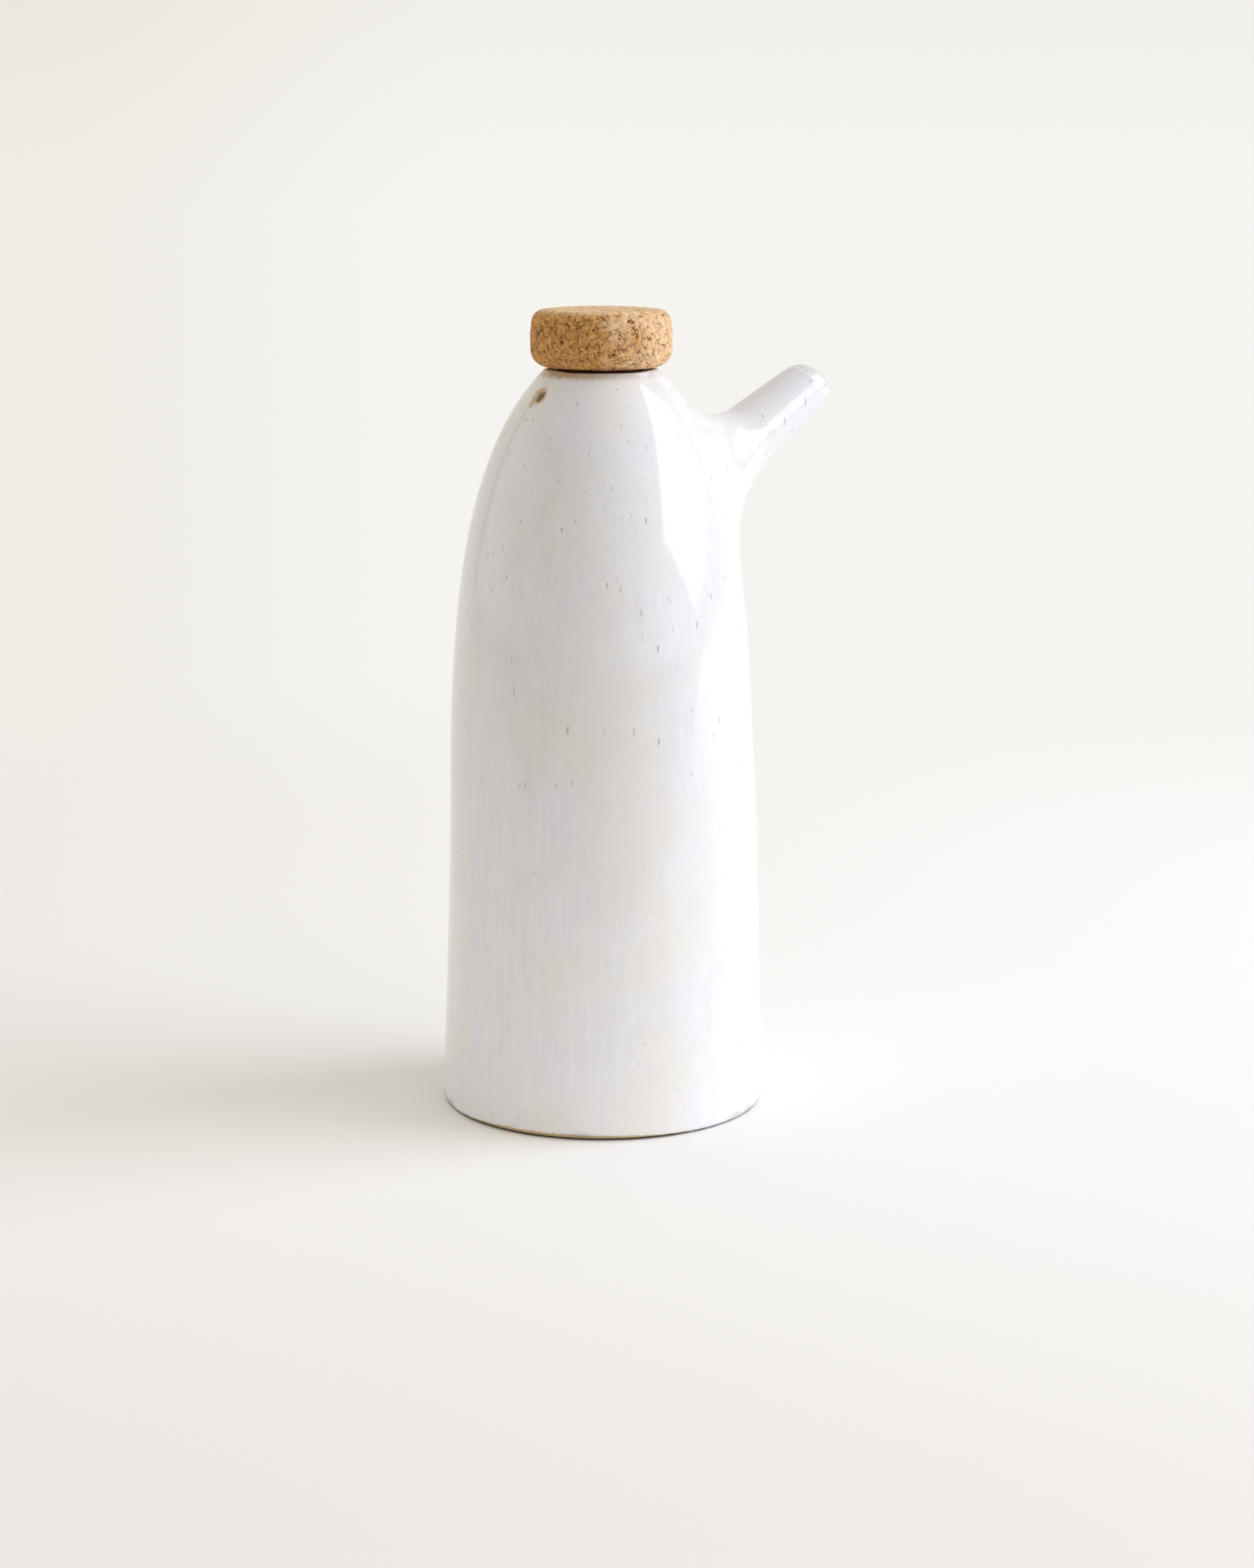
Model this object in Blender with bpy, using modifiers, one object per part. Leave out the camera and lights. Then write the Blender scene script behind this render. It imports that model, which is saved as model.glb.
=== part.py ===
"""A stoneware oil bottle with a luted spout and a cork stopper.

Everything is in metres. The foot stands on z = 0 with its centre at the origin,
+Z is up, and the spout points along +X.
"""

import math

import bmesh
import bpy
from mathutils import Vector

# Turned pieces
TURN_STEPS = 64
CLEARANCE = 0.0003
SHARP_ANGLE = math.radians(40.0)

# Outer wall of the body: a slight taper that closes in along a superellipse
FOOT_BEVEL_WIDTH = 0.0010
FOOT_BEVEL_HEIGHT = 0.0010
WALL_RADIUS = 0.0400
WALL_TAPER = 0.0293
SHOULDER_START = 0.0600
SHOULDER_SQUARENESS = 4.06
SHOULDER_FULLNESS = 1.70
WALL_ROWS = 24
WALL_ROW_GATHER = 1.7
NORMAL_REACH = 0.0004
WALL_THICKNESS = 0.0042
FLOOR_THICKNESS = 0.0060
FLOOR_CORNER_RADIUS = 0.0060

# Level seams between the belly, the shoulder and the neck, measured down from the rim
BELLY_SEAM_DROP = 0.0738
SHOULDER_SEAM_DROP = 0.0148
LEAST_ROW = 0.0012

# Mouth
RIM_HEIGHT = 0.1818
RIM_WIDTH = 0.00335
RIM_EDGE_DROP = 0.0006
RIM_EDGE_WIDTH = 0.0011
MOUTH_RADIUS = 0.0108
MOUTH_EDGE_ROUNDING = 0.0006
MOUTH_TAPER = 0.00035
NECK_LENGTH = 0.0063
NECK_UNDERSIDE_DROP = 0.0012

# Vent hole in the shoulder, nearly opposite the spout
VENT_HEADING = math.radians(-177.0)
VENT_DROP = 0.0058
VENT_RADIUS = 0.0014
VENT_SEGMENTS = 16

# Spout, from its root on the outer wall
SPOUT_SLOPE = math.radians(32.8)
SPOUT_ROOT_DROP = 0.0284
SPOUT_LENGTH = 0.0425
SPOUT_ROOT_RADIUS = 0.0099
SPOUT_TIP_RADIUS = 0.0061
SPOUT_MOUTH_CUT = math.radians(10.0)
SPOUT_LIP_LENGTH = 0.0030
SPOUT_LIP_DEPTH = 0.0016
SPOUT_BORE_ROOT_RADIUS = 0.0060
SPOUT_BORE_TIP_RADIUS = 0.0037
SPOUT_BORE_EDGE = 0.0006
SPOUT_POINTS = 36

# Sweep of the spout into the shoulder: how far it spreads on the body above,
# beside and below the tube, and how far it runs up the tube above and below
SWEEP_SPREAD_TOP = 0.0177
SWEEP_SPREAD_SIDE = 0.0144
SWEEP_SPREAD_UNDER = 0.0205
SWEEP_RUN_TOP = 0.0185
SWEEP_RUN_UNDER = 0.0252
SWEEP_EDGE_THICKNESS = 0.0005
SWEEP_PULL = 1.2
LEAST_TUBE = 0.0010

# Rows of points along the spout's skin
SEAT_ROWS = 5
SWEEP_ROWS = 9
TUBE_ROWS = 5
LIP_ROWS = 5
BORE_ROWS = 6
BISECTIONS = 40

# Pour hole through the wall behind the spout
POUR_HOLE_DEPTH = 0.0150
POUR_HOLE_OVERRUN = 0.0110
POUR_HOLE_SEGMENTS = 32
CUTTER_OVERRUN = 0.0030

# Cork stopper
HEAD_RADIUS = 0.0170
HEAD_THICKNESS = 0.0139
HEAD_TOP_ROUNDING = 0.0030
HEAD_BOTTOM_ROUNDING = 0.0040
HEAD_BULGE = 0.0003
SOCKET_DEPTH = 0.0022
PLUG_LENGTH = 0.0200
PLUG_END_RADIUS = 0.0094
PLUG_END_ROUNDING = 0.0010
CORNER_STEPS = 5

# Places that follow from the sizes above
FOOT_RADIUS = WALL_RADIUS - FOOT_BEVEL_WIDTH
BELLY_TOP = RIM_HEIGHT - BELLY_SEAM_DROP
SHOULDER_TOP = RIM_HEIGHT - SHOULDER_SEAM_DROP
RIM_RADIUS = MOUTH_RADIUS + RIM_WIDTH
WALL_TOP = RIM_HEIGHT - RIM_EDGE_DROP
NECK_BOTTOM = RIM_HEIGHT - NECK_LENGTH
VENT_HEIGHT = RIM_HEIGHT - VENT_DROP
SPOUT_ROOT_HEIGHT = RIM_HEIGHT - SPOUT_ROOT_DROP
PLUG_RADIUS = MOUTH_RADIUS - CLEARANCE
SOCKET_RADIUS = PLUG_RADIUS + CLEARANCE

# Colours of the glaze and the cork
GLAZE_COLOUR = (0.735, 0.720, 0.715, 1.0)
GLAZE_ROUGHNESS = 0.18
CORK_COLOUR = (0.545, 0.300, 0.122, 1.0)
CORK_ROUGHNESS = 0.85


# Scene helpers


def clear_scene():
    for item in list(bpy.data.objects):
        bpy.data.objects.remove(item, do_unlink=True)


def make_collection(name):
    collection = bpy.data.collections.new(name)
    bpy.context.scene.collection.children.link(collection)
    return collection


def make_material(name, colour, roughness):
    material = bpy.data.materials.new(name)
    material.use_nodes = True
    shader = material.node_tree.nodes["Principled BSDF"]
    shader.inputs["Base Color"].default_value = colour
    shader.inputs["Roughness"].default_value = roughness
    shader.inputs["Metallic"].default_value = 0.0
    return material


def make_object(name, mesh, collection, material=None):
    item = bpy.data.objects.new(name, mesh)
    collection.objects.link(item)
    if material is not None:
        mesh.materials.append(material)
    return item


def make_turned(name, profile, collection, material):
    """Turns a profile of (radius, height) pairs around the Z axis, closing a ring's."""
    mesh = bpy.data.meshes.new(name)
    points = [(radius, 0.0, height) for radius, height in profile]
    edges = [(index, index + 1) for index in range(len(points) - 1)]
    is_ring = profile[0][0] > 0.0
    if is_ring:
        edges.append((len(points) - 1, 0))
    mesh.from_pydata(points, edges, [])
    item = make_object(name, mesh, collection, material)
    screw = item.modifiers.new("Turn", "SCREW")
    screw.axis = "Z"
    screw.steps = TURN_STEPS
    screw.render_steps = TURN_STEPS
    screw.use_merge_vertices = True
    screw.merge_threshold = 0.00001
    screw.use_smooth_shade = True
    return item


def make_cutter(name, start, end, radius, segments, collection):
    """A round cutter that runs from one point to another."""
    axis = end - start
    bpy.ops.mesh.primitive_cylinder_add(vertices=segments, radius=radius, depth=axis.length)
    cutter = bpy.context.object
    cutter.name = name
    cutter.location = 0.5 * (start + end)
    cutter.rotation_euler = axis.to_track_quat("Z", "X").to_euler()
    for holder in list(cutter.users_collection):
        holder.objects.unlink(cutter)
    collection.objects.link(cutter)
    cutter.hide_render = True
    cutter.display_type = "WIRE"
    return cutter


def cut_away(item, cutter):
    cut = item.modifiers.new("Cut " + cutter.name, "BOOLEAN")
    cut.operation = "DIFFERENCE"
    cut.solver = "EXACT"
    cut.object = cutter


# Shape of the outer wall


def taper_radius(height):
    return WALL_RADIUS - WALL_TAPER * height


def wall_radius(height):
    """Radius of the outer wall, closing in to meet the rim at the top of the wall."""
    if height <= SHOULDER_START:
        return taper_radius(height)
    rim_share = RIM_RADIUS / taper_radius(WALL_TOP)
    rim_part = (1.0 - rim_share**SHOULDER_FULLNESS) ** (1.0 / SHOULDER_SQUARENESS)
    part = rim_part * (height - SHOULDER_START) / (WALL_TOP - SHOULDER_START)
    closing = (1.0 - part**SHOULDER_SQUARENESS) ** (1.0 / SHOULDER_FULLNESS)
    return taper_radius(height) * closing


def wall_normal(height):
    """Outward direction (radial, upward) of the outer wall at a height."""
    low = max(height - NORMAL_REACH, 0.0)
    high = min(height + NORMAL_REACH, WALL_TOP)
    slope = (wall_radius(high) - wall_radius(low)) / (high - low)
    return Vector((1.0, -slope)).normalized()


def wall_direction(heading, height):
    """Outward direction of the outer wall in space."""
    normal = wall_normal(height)
    return Vector((normal.x * math.cos(heading), normal.x * math.sin(heading), normal.y))


def wall_point(heading, height, lift):
    """A point at a distance outside the outer wall."""
    radius = wall_radius(height)
    foot = Vector((radius * math.cos(heading), radius * math.sin(heading), height))
    return foot + wall_direction(heading, height) * lift


def wall_heights():
    """Heights of the rows of the wall, closer together where it curves in."""
    rows = []
    for index in range(WALL_ROWS + 1):
        part = 1.0 - (1.0 - index / WALL_ROWS) ** WALL_ROW_GATHER
        rows.append(FOOT_BEVEL_HEIGHT + (WALL_TOP - FOOT_BEVEL_HEIGHT) * part)
    return rows


def corner_arc(centre_radius, centre_height, rounding, start, end):
    """Points of a rounded corner, from one angle to another above the horizontal."""
    points = []
    for step in range(CORNER_STEPS + 1):
        angle = math.radians(start + (end - start) * step / CORNER_STEPS)
        radius = centre_radius + rounding * math.cos(angle)
        points.append((radius, centre_height + rounding * math.sin(angle)))
    return points


def inner_radius(height):
    """Radius of the inner wall, a wall thickness inside the outer one."""
    low = 0.0
    high = WALL_TOP
    for _ in range(BISECTIONS):
        middle = 0.5 * (low + high)
        if wall_point(0.0, middle, -WALL_THICKNESS).z < height:
            low = middle
        else:
            high = middle
    return wall_point(0.0, low, -WALL_THICKNESS).x


def cavity_radius(height):
    """Radius of the inner wall, with the rounded corner where it meets the floor."""
    corner_height = FLOOR_THICKNESS + FLOOR_CORNER_RADIUS
    if height >= corner_height:
        return inner_radius(height)
    corner_centre = inner_radius(corner_height) - FLOOR_CORNER_RADIUS
    below = corner_height - height
    return corner_centre + math.sqrt(FLOOR_CORNER_RADIUS**2 - below**2)


def rows_between(low, high):
    """The wall's rows from one height to another, both ends included."""
    inner_rows = [row for row in wall_heights() if low + LEAST_ROW < row < high - LEAST_ROW]
    return [low] + inner_rows + [high]


def outer_side(low, high):
    """The outer wall from one height down to another."""
    return [(wall_radius(row), row) for row in reversed(rows_between(low, high))]


def inner_side(low, high):
    """The inner wall from one height up to another."""
    return [(cavity_radius(row), row) for row in rows_between(low, high)]


def foot_profile():
    """The floor slab, from the middle of its top down to the middle of its underside."""
    profile = [(0.0, FLOOR_THICKNESS)]
    profile += outer_side(FOOT_BEVEL_HEIGHT, FLOOR_THICKNESS)
    profile.append((FOOT_RADIUS, 0.0))
    profile.append((0.0, 0.0))
    return profile


def belly_profile():
    """The tapered wall, with the rounded corner inside above the floor."""
    bottom = FLOOR_THICKNESS + CLEARANCE
    corner_height = FLOOR_THICKNESS + FLOOR_CORNER_RADIUS
    profile = []
    for step in range(CORNER_STEPS):
        height = bottom + (corner_height - bottom) * (step / CORNER_STEPS) ** 2
        profile.append((cavity_radius(height), height))
    profile += inner_side(corner_height, BELLY_TOP)
    profile += outer_side(bottom, BELLY_TOP)
    return profile


def shoulder_profile():
    """The wall where it curves in, with the spout's root on it."""
    bottom = BELLY_TOP + CLEARANCE
    return inner_side(bottom, SHOULDER_TOP) + outer_side(bottom, SHOULDER_TOP)


def neck_profile():
    """The top of the wall, thickened inwards into the neck that holds the cork."""
    bottom = SHOULDER_TOP + CLEARANCE
    profile = inner_side(bottom, NECK_BOTTOM - NECK_UNDERSIDE_DROP)
    profile.append((MOUTH_RADIUS - MOUTH_TAPER, NECK_BOTTOM))
    profile.append((MOUTH_RADIUS, RIM_HEIGHT - MOUTH_EDGE_ROUNDING))
    profile.append((MOUTH_RADIUS + MOUTH_EDGE_ROUNDING, RIM_HEIGHT))
    profile.append((RIM_RADIUS - RIM_EDGE_WIDTH, RIM_HEIGHT))
    profile += outer_side(bottom, WALL_TOP)
    return profile


# Shape of the spout

SPOUT_AXIS = Vector((math.cos(SPOUT_SLOPE), 0.0, math.sin(SPOUT_SLOPE)))
SPOUT_UPWARD = Vector((-math.sin(SPOUT_SLOPE), 0.0, math.cos(SPOUT_SLOPE)))
SPOUT_SIDEWAYS = Vector((0.0, 1.0, 0.0))
SPOUT_ROOT = wall_point(0.0, SPOUT_ROOT_HEIGHT, 0.0)


def spout_outward(turn):
    return SPOUT_UPWARD * math.cos(turn) + SPOUT_SIDEWAYS * math.sin(turn)


def spout_point(turn, along, off_axis):
    """A point at a turn around the spout, a distance along it and one off its axis."""
    return SPOUT_ROOT + SPOUT_AXIS * along + spout_outward(turn) * off_axis


def tube_radius(along):
    taper = (SPOUT_ROOT_RADIUS - SPOUT_TIP_RADIUS) / SPOUT_LENGTH
    return SPOUT_ROOT_RADIUS - taper * along


def mouth_shift(turn, off_axis):
    """How much further the slanted mouth reaches under the axis, or less above it."""
    return -math.tan(SPOUT_MOUTH_CUT) * off_axis * math.cos(turn)


def is_inside_wall(point, lift):
    """Whether a point lies within the outer wall, or a surface lifted off it."""
    if point.z >= WALL_TOP:
        return False
    reach = wall_radius(point.z) + lift / wall_normal(point.z).x
    return math.hypot(point.x, point.y) < reach


def leaves_wall(turn, off_axis, lift):
    """Distance along the spout at which a line beside its axis comes out of the wall."""
    low = -WALL_RADIUS
    high = WALL_RADIUS
    for _ in range(BISECTIONS):
        middle = 0.5 * (low + high)
        if is_inside_wall(spout_point(turn, middle, off_axis), lift):
            low = middle
        else:
            high = middle
    return low


def seat_place(turn, off_axis):
    """Heading and height on the wall under a line beside the spout's axis."""
    point = spout_point(turn, leaves_wall(turn, off_axis, 0.0), off_axis)
    return math.atan2(point.y, point.x), point.z


def sweep_spread(turn):
    end = SWEEP_SPREAD_TOP if math.cos(turn) > 0.0 else SWEEP_SPREAD_UNDER
    return SWEEP_SPREAD_SIDE + (end - SWEEP_SPREAD_SIDE) * math.cos(turn) ** 2


def sweep_run(turn):
    under = 0.5 * (1.0 - math.cos(turn))
    return SWEEP_RUN_TOP + (SWEEP_RUN_UNDER - SWEEP_RUN_TOP) * under


def sweep_outer_place(turn):
    return seat_place(turn, SPOUT_ROOT_RADIUS + sweep_spread(turn))


def tube_end(turn):
    """Distance along the spout at which its lip begins."""
    return SPOUT_LENGTH - SPOUT_LIP_LENGTH + mouth_shift(turn, SPOUT_TIP_RADIUS)


def tube_start(turn):
    """Distance along the spout at which the sweep has become the tube."""
    narrow = leaves_wall(turn, SPOUT_ROOT_RADIUS, 0.0)
    return min(narrow + sweep_run(turn), tube_end(turn) - LEAST_TUBE)


def seat_points(turn):
    """The seat a clearance off the wall, from the bore outwards."""
    inner_heading, inner_height = seat_place(turn, SPOUT_BORE_ROOT_RADIUS)
    outer_heading, outer_height = sweep_outer_place(turn)
    points = []
    for row in range(SEAT_ROWS + 1):
        part = row / SEAT_ROWS
        heading = inner_heading + (outer_heading - inner_heading) * part
        height = inner_height + (outer_height - inner_height) * part
        points.append(wall_point(heading, height, CLEARANCE))
    return points


def sweep_points(turn):
    """The concave sweep, leaving along the wall and arriving along the tube."""
    heading, height = sweep_outer_place(turn)
    start = wall_point(heading, height, CLEARANCE + SWEEP_EDGE_THICKNESS)
    normal = wall_direction(heading, height)
    narrow = leaves_wall(turn, SPOUT_ROOT_RADIUS, 0.0)
    inward = spout_point(turn, narrow, SPOUT_ROOT_RADIUS) - start
    inward = (inward - normal * inward.dot(normal)).normalized()
    finish = spout_point(turn, tube_start(turn), tube_radius(tube_start(turn)))
    pull = (finish - start).length * SWEEP_PULL
    points = []
    for row in range(SWEEP_ROWS + 1):
        part = row / SWEEP_ROWS
        square = part * part
        cube = square * part
        place = start * (2.0 * cube - 3.0 * square + 1.0) + finish * (3.0 * square - 2.0 * cube)
        leaving = inward * pull * (cube - 2.0 * square + part)
        arriving = SPOUT_AXIS * pull * (cube - square)
        points.append(place + leaving + arriving)
    return points


def tube_points(turn):
    start = tube_start(turn)
    run = tube_end(turn) - start
    points = []
    for row in range(1, TUBE_ROWS + 1):
        along = start + run * row / TUBE_ROWS
        points.append(spout_point(turn, along, tube_radius(along)))
    return points


def lip_points(turn):
    """The rounded lip of the slanted mouth."""
    lip_start = SPOUT_LENGTH - SPOUT_LIP_LENGTH
    points = []
    for row in range(1, LIP_ROWS + 1):
        angle = 0.5 * math.pi * row / LIP_ROWS
        off_axis = SPOUT_TIP_RADIUS - SPOUT_LIP_DEPTH * (1.0 - math.cos(angle))
        along = lip_start + SPOUT_LIP_LENGTH * math.sin(angle) + mouth_shift(turn, off_axis)
        points.append(spout_point(turn, along, off_axis))
    return points


def bore_points(turn):
    """The tapered bore, from the mouth back to the seat."""
    mouth = SPOUT_LENGTH - SPOUT_BORE_EDGE + mouth_shift(turn, SPOUT_BORE_TIP_RADIUS)
    seat = leaves_wall(turn, SPOUT_BORE_ROOT_RADIUS, CLEARANCE)
    points = []
    for row in range(BORE_ROWS):
        part = row / BORE_ROWS
        along = mouth + (seat - mouth) * part
        widening = (SPOUT_BORE_ROOT_RADIUS - SPOUT_BORE_TIP_RADIUS) * part
        points.append(spout_point(turn, along, SPOUT_BORE_TIP_RADIUS + widening))
    return points


def spout_column(turn):
    """The spout's skin at one turn, from the seat out to the mouth and back inside."""
    outside = seat_points(turn) + sweep_points(turn) + tube_points(turn)
    return outside + lip_points(turn) + bore_points(turn)


def make_spout(collection, material):
    shape = bmesh.new()
    columns = []
    for index in range(SPOUT_POINTS):
        turn = 2.0 * math.pi * index / SPOUT_POINTS
        columns.append([shape.verts.new(point) for point in spout_column(turn)])
    rows = len(columns[0])
    for index in range(SPOUT_POINTS):
        here = columns[index]
        beside = columns[(index + 1) % SPOUT_POINTS]
        for row in range(rows):
            following = (row + 1) % rows
            shape.faces.new((here[row], beside[row], beside[following], here[following]))
    bmesh.ops.recalc_face_normals(shape, faces=shape.faces)
    mesh = bpy.data.meshes.new("spout")
    shape.to_mesh(mesh)
    shape.free()
    mesh.shade_smooth()
    mesh.set_sharp_from_angle(angle=SHARP_ANGLE)
    return make_object("spout", mesh, collection, material)


# Pieces


def make_vessel(collection, cutters):
    """Foot, belly, shoulder and neck, stacked a clearance apart."""
    profiles = {
        "foot": foot_profile(),
        "belly": belly_profile(),
        "shoulder": shoulder_profile(),
        "neck": neck_profile(),
    }
    pieces = {}
    for name, profile in profiles.items():
        material = make_material(name + "_glaze", GLAZE_COLOUR, GLAZE_ROUGHNESS)
        pieces[name] = make_turned(name, profile, collection, material)

    pour_cutter = make_cutter(
        "pour_hole_cutter",
        SPOUT_ROOT - SPOUT_AXIS * POUR_HOLE_DEPTH,
        SPOUT_ROOT + SPOUT_AXIS * POUR_HOLE_OVERRUN,
        SPOUT_BORE_ROOT_RADIUS,
        POUR_HOLE_SEGMENTS,
        cutters,
    )
    cut_away(pieces["shoulder"], pour_cutter)

    vent_inside = wall_point(VENT_HEADING, VENT_HEIGHT, -WALL_THICKNESS - CUTTER_OVERRUN)
    vent_outside = wall_point(VENT_HEADING, VENT_HEIGHT, CUTTER_OVERRUN)
    vent_cutter = make_cutter(
        "vent_cutter", vent_inside, vent_outside, VENT_RADIUS, VENT_SEGMENTS, cutters
    )
    cut_away(pieces["neck"], vent_cutter)


def head_profile():
    """The cork head above its own underside, from its top down the side to the socket."""
    shoulder = HEAD_RADIUS - HEAD_TOP_ROUNDING
    underside = HEAD_RADIUS - HEAD_BOTTOM_ROUNDING
    upper = HEAD_THICKNESS - HEAD_TOP_ROUNDING
    profile = [(0.0, HEAD_THICKNESS)]
    profile += corner_arc(shoulder, upper, HEAD_TOP_ROUNDING, 90.0, 0.0)
    profile.append((HEAD_RADIUS + HEAD_BULGE, 0.5 * (upper + HEAD_BOTTOM_ROUNDING)))
    profile += corner_arc(underside, HEAD_BOTTOM_ROUNDING, HEAD_BOTTOM_ROUNDING, 0.0, -90.0)
    profile.append((SOCKET_RADIUS, 0.0))
    profile.append((SOCKET_RADIUS, SOCKET_DEPTH))
    profile.append((0.0, SOCKET_DEPTH))
    return profile


def plug_profile():
    """The cork shank about the head's underside, from its top down the tapered side."""
    top = SOCKET_DEPTH - CLEARANCE
    end = top - PLUG_LENGTH
    return [
        (0.0, top),
        (PLUG_RADIUS, top),
        (PLUG_RADIUS, -CLEARANCE),
        (PLUG_END_RADIUS, end + PLUG_END_ROUNDING),
        (PLUG_END_RADIUS - PLUG_END_ROUNDING, end),
        (0.0, end),
    ]


def make_stopper(collection):
    """The head and its plug, on an empty where the head rests on the mouth."""
    seat = bpy.data.objects.new("stopper_seat", None)
    seat.empty_display_size = HEAD_RADIUS
    seat.location = (0.0, 0.0, RIM_HEIGHT + CLEARANCE)
    collection.objects.link(seat)
    head_cork = make_material("head_cork", CORK_COLOUR, CORK_ROUGHNESS)
    plug_cork = make_material("plug_cork", CORK_COLOUR, CORK_ROUGHNESS)
    head = make_turned("stopper_head", head_profile(), collection, head_cork)
    plug = make_turned("stopper_plug", plug_profile(), collection, plug_cork)
    head.parent = seat
    plug.parent = seat


def build():
    clear_scene()
    pieces = make_collection("oil_bottle")
    cutters = make_collection("cutters")
    spout_glaze = make_material("spout_glaze", GLAZE_COLOUR, GLAZE_ROUGHNESS)
    make_vessel(pieces, cutters)
    make_spout(pieces, spout_glaze)
    make_stopper(pieces)


build()
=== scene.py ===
# %% [markdown]
# # A glazed oil bottle with a cork stopper
#
# The bottle is a thrown stoneware vessel with an off-white gloss glaze. A slanted spout is luted to
# its shoulder, a small vent hole lets air in behind it, and a stopper of pressed cork closes the mouth.
# We start from the fixed model, repeat its sizes here as named values, and dress it with finer skins:
# one for the fired vessel, because clay and glaze run through it without a seam, and two for the cork.

# %% Load the fixed model
import math

import bmesh
import bpy
import numpy as np
from mathutils import Matrix, Vector
from mathutils.kdtree import KDTree


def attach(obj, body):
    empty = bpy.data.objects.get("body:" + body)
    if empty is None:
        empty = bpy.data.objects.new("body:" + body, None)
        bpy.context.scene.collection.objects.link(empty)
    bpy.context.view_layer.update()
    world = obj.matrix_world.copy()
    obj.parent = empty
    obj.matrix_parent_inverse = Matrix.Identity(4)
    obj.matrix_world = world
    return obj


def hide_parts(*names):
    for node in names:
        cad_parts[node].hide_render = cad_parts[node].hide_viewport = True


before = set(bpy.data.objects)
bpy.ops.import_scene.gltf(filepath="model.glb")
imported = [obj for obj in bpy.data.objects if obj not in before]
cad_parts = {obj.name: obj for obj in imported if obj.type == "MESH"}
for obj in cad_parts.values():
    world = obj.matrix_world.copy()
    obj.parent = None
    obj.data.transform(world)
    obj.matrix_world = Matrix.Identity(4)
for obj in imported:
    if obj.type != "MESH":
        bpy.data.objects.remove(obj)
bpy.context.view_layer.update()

# %% [markdown]
# ## The camera
#
# The photograph was taken from a little under eighty centimetres, from a bit above the cork's top, and
# tilted down by eleven and a half degrees. The spout doesn't point exactly sideways: it turns thirty-five
# degrees away from the viewer, so we walk the camera round by that angle. A long lens keeps the sides of
# the bottle nearly parallel. The bottle stands slightly left of the middle, which a small shift of the
# lens gives without turning the camera.

# %% Camera in the photograph's place
VIEW_TURN = math.radians(35.0)
CAMERA_DISTANCE = 0.7891
CAMERA_HEIGHT = 0.23975
CAMERA_TILT = math.radians(11.48)
LEVEL_VIEW = math.radians(90.0)
LENS = 74.8
SENSOR = 36.0
PHOTO_HEIGHT = 1925.0
AXIS_LEFT_OF_MIDDLE = 30.0 / PHOTO_HEIGHT

upward = Vector((0.0, 0.0, 1.0))
towards_camera = Vector((-math.sin(VIEW_TURN), -math.cos(VIEW_TURN), 0.0))
picture_right = Vector((math.cos(VIEW_TURN), -math.sin(VIEW_TURN), 0.0))


def add_to_scene(name, contents):
    """Makes an object from a camera, a lamp or a mesh and puts it in the scene."""
    thing = bpy.data.objects.new(name, contents)
    bpy.context.scene.collection.objects.link(thing)
    return thing


camera_data = bpy.data.cameras.new("photo_camera")
camera_data.lens = LENS
camera_data.sensor_width = SENSOR
camera_data.shift_x = AXIS_LEFT_OF_MIDDLE
camera = add_to_scene("photo_camera", camera_data)
camera.location = towards_camera * CAMERA_DISTANCE + upward * CAMERA_HEIGHT
camera.rotation_euler = (LEVEL_VIEW - CAMERA_TILT, 0.0, -VIEW_TURN)
bpy.context.scene.camera = camera
bpy.context.scene.view_settings.view_transform = "Standard"
print("camera at", tuple(round(value, 4) for value in camera.location))

# %% [markdown]
# ## Small helpers for materials
#
# Every finish below is a chain of shader nodes. These few helpers add a node, set its values by name
# and link its inputs, so that a finish reads as a short recipe. The mix node keeps its sockets for
# numbers and for colours side by side, so we pick the colour ones by their number.

# %% Helpers that build node chains
COLOUR_MIX_INPUTS = (0, 6, 7)
COLOUR_MIX_OUTPUT = 2


def new_material(name):
    material = bpy.data.materials.new(name)
    material.use_nodes = True
    material.node_tree.nodes.clear()
    return material, material.node_tree


def feed(tree, socket, value):
    """Links a socket to another node's output, or sets it to a plain value."""
    if isinstance(value, bpy.types.NodeSocket):
        tree.links.new(value, socket)
    else:
        socket.default_value = value


def add_node(tree, kind, inputs=None, **settings):
    """Adds a node with its settings, and feeds its inputs by name or number."""
    node = tree.nodes.new(kind)
    for name, value in settings.items():
        setattr(node, name, value)
    for name, value in (inputs or {}).items():
        feed(tree, node.inputs[name], value)
    return node


def calculate(tree, operation, *values):
    """Takes values one after another through one kind of math node; a lone value comes with 0.0."""
    result = values[0]
    for value in values[1:]:
        node = add_node(tree, "ShaderNodeMath", {0: result, 1: value}, operation=operation)
        result = node.outputs["Value"]
    return result


def total(tree, *values):
    return calculate(tree, "ADD", *values)


def product(tree, *values):
    return calculate(tree, "MULTIPLY", *values)


print("node helpers ready")


# %% Helpers that remap and mix
def remap(tree, value, low, high, out_low=0.0, out_high=1.0, smooth=True):
    """Turns one range of values into another, with a soft start and end unless smooth is off."""
    inputs = {"Value": value, "From Min": low, "From Max": high, "To Min": out_low, "To Max": out_high}
    kind = "SMOOTHSTEP" if smooth else "LINEAR"
    return add_node(tree, "ShaderNodeMapRange", inputs, interpolation_type=kind).outputs["Result"]


def mix_colour(tree, share, first, second, blend="MIX"):
    inputs = dict(zip(COLOUR_MIX_INPUTS, (share, first, second)))
    node = add_node(tree, "ShaderNodeMix", inputs, data_type="RGBA", blend_type=blend)
    return node.outputs[COLOUR_MIX_OUTPUT]


def mix_shaders(tree, share, first, second):
    return add_node(tree, "ShaderNodeMixShader", {0: share, 1: first.outputs[0], 2: second.outputs[0]})


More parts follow.
